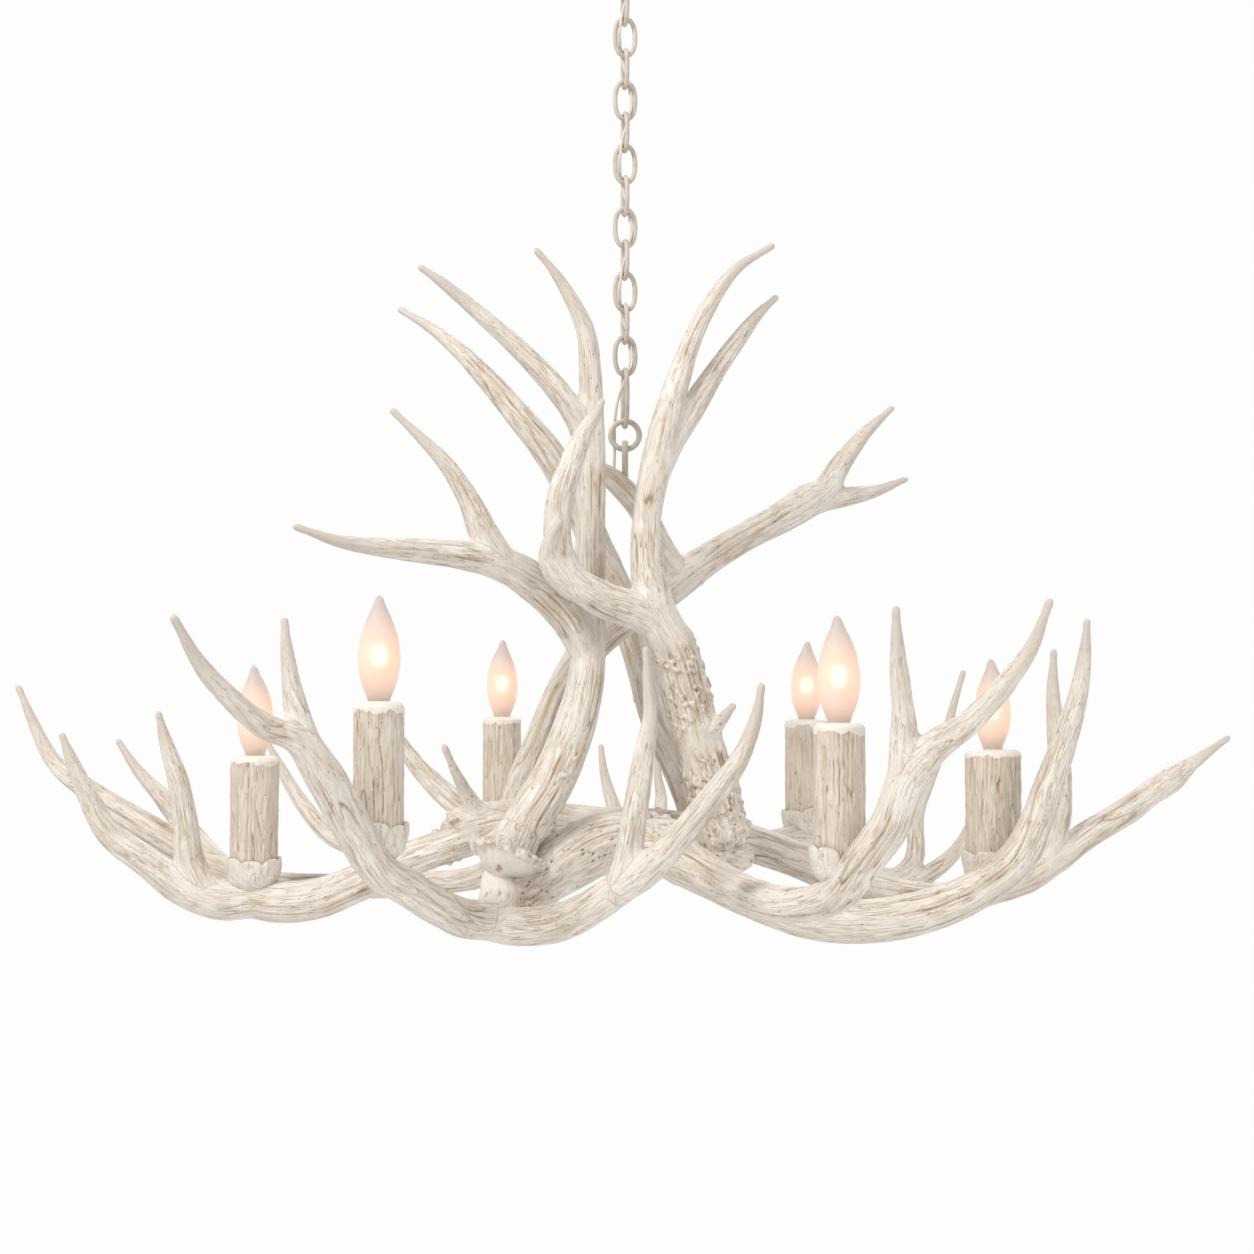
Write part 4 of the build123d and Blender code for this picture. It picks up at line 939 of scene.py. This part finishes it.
# The sleeve's lip, as (inset from its wall, drop from its top), and its bore, as (radius, drop).
LIP = ((0.0, 0.0042), (0.0005, 0.0033), (0.0013, 0.0022), (0.0024, 0.0012), (0.0036, 0.0005),
       (0.0050, 0.0001))
BORE = ((0.0127, 0.0003), (0.0122, 0.0012), (0.0121, 0.02), (0.0134, 0.022), (0.0135, SLEEVE_LENGTH))
WIDEST_BORE = 0.0136


def sleeve(number, x, y, floor_z, radius):
    """The bark-grooved sleeve with its smooth, dripped rim."""
    turns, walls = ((240, 120))
    turn = turned(turns)
    seed, top = 7000 + 50 * number, SLEEVE_LENGTH
    edge = top - 0.0078 + 0.0026 * noise(ring(2.8, turn), seed) + 0.0011 * noise(ring(8, turn), seed + 1)
    rows, attributes = [], []
    levels = [*np.linspace(0, top - 0.0115, walls), *np.linspace(top - 0.0111, top - 0.0048, 24)]
    for z in levels:
        grain = ring(radius * MM, turn, z=z * MM)
        meander = 1.1 * streaks(grain, 0.09, 0.045, seed + 2) + 0.5 * streaks(grain, 0.2, 0.11, seed + 12)
        bent = grain + meander[:, None] * (1, 1, 0)
        furrow = grooves(bent, 0.27, 0.014, 0.62, seed + 3)
        furrow = furrow * smoothstep(streaks(grain, 0.16, 0.05, seed + 4), -0.45, 0.05)
        furrow = furrow * (0.45 + 0.55 * smoothstep(streaks(grain, 0.3, 0.22, seed + 14), -0.3, 0.1))
        crease = grooves(bent, 0.32, 0.022, 0.5, seed + 5)
        crease = crease * smoothstep(streaks(grain, 0.2, 0.06, seed + 6), -0.1, 0.3)
        ridge = 0.7 * streaks(bent, 0.15, 0.010, seed + 7) + 0.3 * streaks(bent, 0.3, 0.012, seed + 13)
        chips = streaks(grain, 0.35, 0.16, seed + 8)
        cap = smoothstep(z - edge, -0.0007, 0.0007)
        wall = 0.55 * ridge - 1.1 * furrow - 0.55 * crease + 0.38 * chips - 0.2
        lift = wall * (1 - cap) + (0.22 + 0.12 * ridge) * cap
        swell = 0.0005 * noise(np.array([[z * 22, 0.3, number]]), seed + 9)[0]
        rows.append(ring(radius + swell + lift / MM, turn, x + 0.4 * swell, y - 0.3 * swell, floor_z + z))
        furrow = np.clip(0.8 * furrow + 0.45 * crease, 0, 1) * (1 - cap)
        attributes.append(np.stack([*grain.T, furrow, cap], 1))
    wobble = 0.0004 * noise(ring(2.5, turn, z=5), seed + 10)
    crown = [(radius - inset, top - drop) for inset, drop in LIP] + [(r, top - drop) for r, drop in BORE]
    for r, z in crown:
        rows.append(ring(r + (wobble if r > WIDEST_BORE else 0.0), turn, x, y, floor_z + z))
        attributes.append(np.stack([*ring(r * MM, turn, z=z * MM).T, 0 * turn, 0 * turn + 1], 1))
    made = lathe(f"candle_sleeve_{number}_bark", np.array(rows), BARK)
    values = np.concatenate(attributes)
    cavity = cavity_of(made.data, 3, 1100.0) * (1 - 0.6 * values[:, 4])
    store(made.data, grain=values[:, :3], furrow=values[:, 3], tip=values[:, 4], cavity=cavity)
    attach(made, "fixture")
    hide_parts(f"candle_sleeve_{number}")


PETALS = 7


def cup(number, x, y, seat_z, arm, radius):
    """The ring of overlapping petals that grows out of the arm round the sleeve's foot."""
    turns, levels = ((280, 64))
    turn, count = turned(turns), np.arange(PETALS)
    random = np.random.default_rng(500 + number)
    middle = 2 * pi * (count + 0.25 * random.random(PETALS)) / PETALS + number
    width = pi / PETALS * (1.12 + 0.2 * random.random(PETALS))
    tall = CUP_HEIGHT * (0.90 + 0.16 * random.random(PETALS))
    layer = np.where(count % 2 == 0, 0.0009, 0.0) + 0.0003 * random.random(PETALS)
    away = (turn[:, None] - middle[None] + pi) % (2 * pi) - pi
    across = np.abs(away) / width[None]
    crest = np.where(across < 1, tall * (1 - 0.30 * np.clip(across, 0, 1) ** 3.0), 0)
    lip = np.maximum(crest.max(1), CUP_HEIGHT * 0.66)
    foot = -1.15 * arm
    rows = []
    for step in np.linspace(0, 1, levels):
        z = foot + (lip - foot) * step
        up = np.clip(z / CUP_HEIGHT, -1, 1.1)
        base = radius - 0.0012 + 0.0032 * smoothstep(up, 0.02, 0.85)
        base = base - 0.0022 * smoothstep(-up, -0.25, 0.1)
        base = np.where(z < 0.001, base - (0.4 * (0.001 - z) + 14 * (0.001 - z) ** 2), base)
        reach = np.clip(1 - (z[:, None] / np.maximum(crest, 1e-6)) ** 6, 0, 1)
        shown = layer + 0.0014 * np.sqrt(np.clip(1 - across**2, 0, 1)) * np.sqrt(reach)
        shown = np.where((across < 1) & (z[:, None] < crest) & (z[:, None] > -0.004), shown, 0)
        shown = shown.max(1) * smoothstep(z, -0.004, 0.004)
        rough = 0.00035 * noise(ring(radius * 500, turn, z=z * 300), 900 + number)
        rows.append(ring(base + shown + rough, turn, x, y, seat_z + z))
    inner, floor_z = radius + 0.0001, seat_z + CUP_FLOOR - 0.002
    bore = ((inner, seat_z + lip - 0.0006), (inner, floor_z), (0.006, floor_z), (0.005, seat_z - 0.8 * arm))
    for r, z in bore:
        rows.append(ring(r, turn, x, y, z))
    made = lathe(f"candle_cup_{number}_petals", np.array(rows), ANTLER)
    grain = (points_of(made.data) - (x, y, seat_z)) * MM
    plain = np.zeros(len(grain))
    store(made.data, grain=grain, furrow=plain, tip=plain + 0.25, cavity=cavity_of(made.data, 3, 1500.0))
    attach(made, "fixture")
    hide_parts(f"candle_cup_{number}")


# The bulb's outline, as (height, radius), which leans over from BEND_START up.
BULB = [(0.0, 0.0076), (0.004, 0.0079), (0.009, 0.0096), (0.0137, 0.0116), (0.021, 0.0140), (0.0288, 0.0154),
        (0.0355, 0.0157), (0.0417, 0.0152), (0.0525, 0.0134), (0.0611, 0.0105), (0.0676, 0.0078),
        (0.072, 0.0057), (0.0755, 0.0042), (0.0785, 0.0033), (0.0803, 0.0027), (0.0814, 0.0019),
        (0.0819, 0.0010), (0.082, 0.0003)]
BULB_HEIGHT, BULB_WALL, BULB_ROWS, BEND_START = 0.082, 0.0009, 72, 0.052
CORE_HEIGHT, CORE_HALF, CORE_RADIUS, CORE_ROWS = 0.0375, 0.0080, 0.0058, 18


def bulb(number, x, y, bottom_z):
    """The frosted flame bulb, its tip bent a little, round its glowing filament."""
    turn = turned(64)
    heights = np.linspace(0, 1, BULB_ROWS) ** 0.9 * BULB_HEIGHT
    radius = np.interp(heights, *np.array(BULB).T)
    for _ in range(2):
        radius[1:-1] = 0.25 * radius[:-2] + 0.5 * radius[1:-1] + 0.25 * radius[2:]
    lean = number * 1.7
    rows = []
    for inset, order in ((0.0, range(BULB_ROWS)), (BULB_WALL, range(BULB_ROWS - 2, -1, -1))):
        for k in order:
            z, r = heights[k], max(radius[k] - inset, 0.0002)
            bend = 0.0016 * max(0.0, (z - BEND_START) / 0.03) ** 2
            rows.append(ring(r, turn, x + bend * cos(lean), y + bend * sin(lean), bottom_z + z))
    glass = lathe(f"bulb_glass_{number}_flame", np.array(rows), FROST)
    height = (points_of(glass.data)[:, 2] - bottom_z) / BULB_HEIGHT
    store(glass.data, height=np.clip(height, 0, 1))
    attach(glass, f"bulb_{number}")
    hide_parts(f"bulb_glass_{number}")
    rows = []
    for k in range(CORE_ROWS):
        lift = pi * (k + 0.5) / CORE_ROWS
        z = bottom_z + CORE_HEIGHT - CORE_HALF * cos(lift)
        rows.append(ring(CORE_RADIUS * sin(lift), turn[::2], x, y, z))
    core = lathe(f"bulb_filament_{number}", np.array(rows), GLOW)
    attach(core, f"bulb_{number}")


for number, (x, y, arm_z, arm, radius) in CANDLES.items():
    seat = HUB_Z + arm_z + 0.6 * arm
    cup(number, x, y, seat, arm, radius)
    sleeve(number, x, y, seat + CUP_FLOOR, radius)
    bulb(number, x, y, seat + CUP_FLOOR + SLEEVE_LENGTH - BULB_SINK)

# ---- chain ----
# The links are rounder than their solids, and the whole chain is turned a little about the upright.
LINK_WIRE, LINK_HALF_WIDTH, CHAIN_TURN = 0.0042, 0.0089, radians(12)
RING_WIRE, RING_RADIUS = 0.0049, 0.01235
LINK_ROUNDNESS, RING_ROUNDNESS = 2.35, 2.0  # the power of a superellipse


def wire_loop(node, body, half_width, half_height, wire, turn, roundness):
    """A closed loop of round wire in an upright plane, with a slight weld on one side."""
    low, high = (Vector(corner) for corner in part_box(node))
    middle = (low + high) / 2
    t, phase = turned(120), turned(24)
    across = half_width * np.sign(np.cos(t)) * np.abs(np.cos(t)) ** (2 / roundness)
    up = half_height * np.sign(np.sin(t)) * np.abs(np.sin(t)) ** (2 / roundness)
    run = np.stack([np.roll(across, -1) - np.roll(across, 1), np.roll(up, -1) - np.roll(up, 1)], 1)
    run /= np.linalg.norm(run, axis=1)[:, None]
    weld = np.exp(-((np.minimum(t, 2 * pi - t) / 0.13) ** 2))
    radius = wire / 2 * (1 + 0.05 * weld)
    rows = []
    for k in range(len(t)):
        flat = across[k] + radius[k] * np.cos(phase) * run[k, 1]
        rise = up[k] - radius[k] * np.cos(phase) * run[k, 0]
        aside = radius[k] * np.sin(phase)
        rows.append(np.stack([middle.x + flat * cos(turn) - aside * sin(turn),
                              middle.y + flat * sin(turn) + aside * cos(turn), middle.z + rise], 1))
    made = lathe(f"{node}_wire", np.array(rows), PAINT)
    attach(made, body)
    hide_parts(node)


LINKS = [(f"chain_link_{n:02d}", "top_link" if n == 1 else "chain") for n in range(1, 13)]
for node, body in LINKS + [("long_link", "long_link")]:
    low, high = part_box(node)
    quarter = pi / 2 if high[1] - low[1] > high[0] - low[0] else 0
    wire_loop(node, body, LINK_HALF_WIDTH, (high[2] - low[2] - LINK_WIRE) / 2, LINK_WIRE,
              CHAIN_TURN + quarter, LINK_ROUNDNESS)
wire_loop("hanging_ring", "ring", RING_RADIUS, RING_RADIUS, RING_WIRE, 0.0, RING_ROUNDNESS)

# ---- finishes of the solids that stay ----
FINISHES = {"painted_steel": PAINT, "plated_steel": ZINC, "socket_body": SOCKET, "bulb_base": BRASS}
for entry in frame["record"]["subparts"]:
    finish = FINISHES.get(entry["material_slot"])
    if finish is not None:
        data = nodes[entry["node"]].data
        data.materials.clear()
        data.materials.append(finish)
        data.shade_smooth()
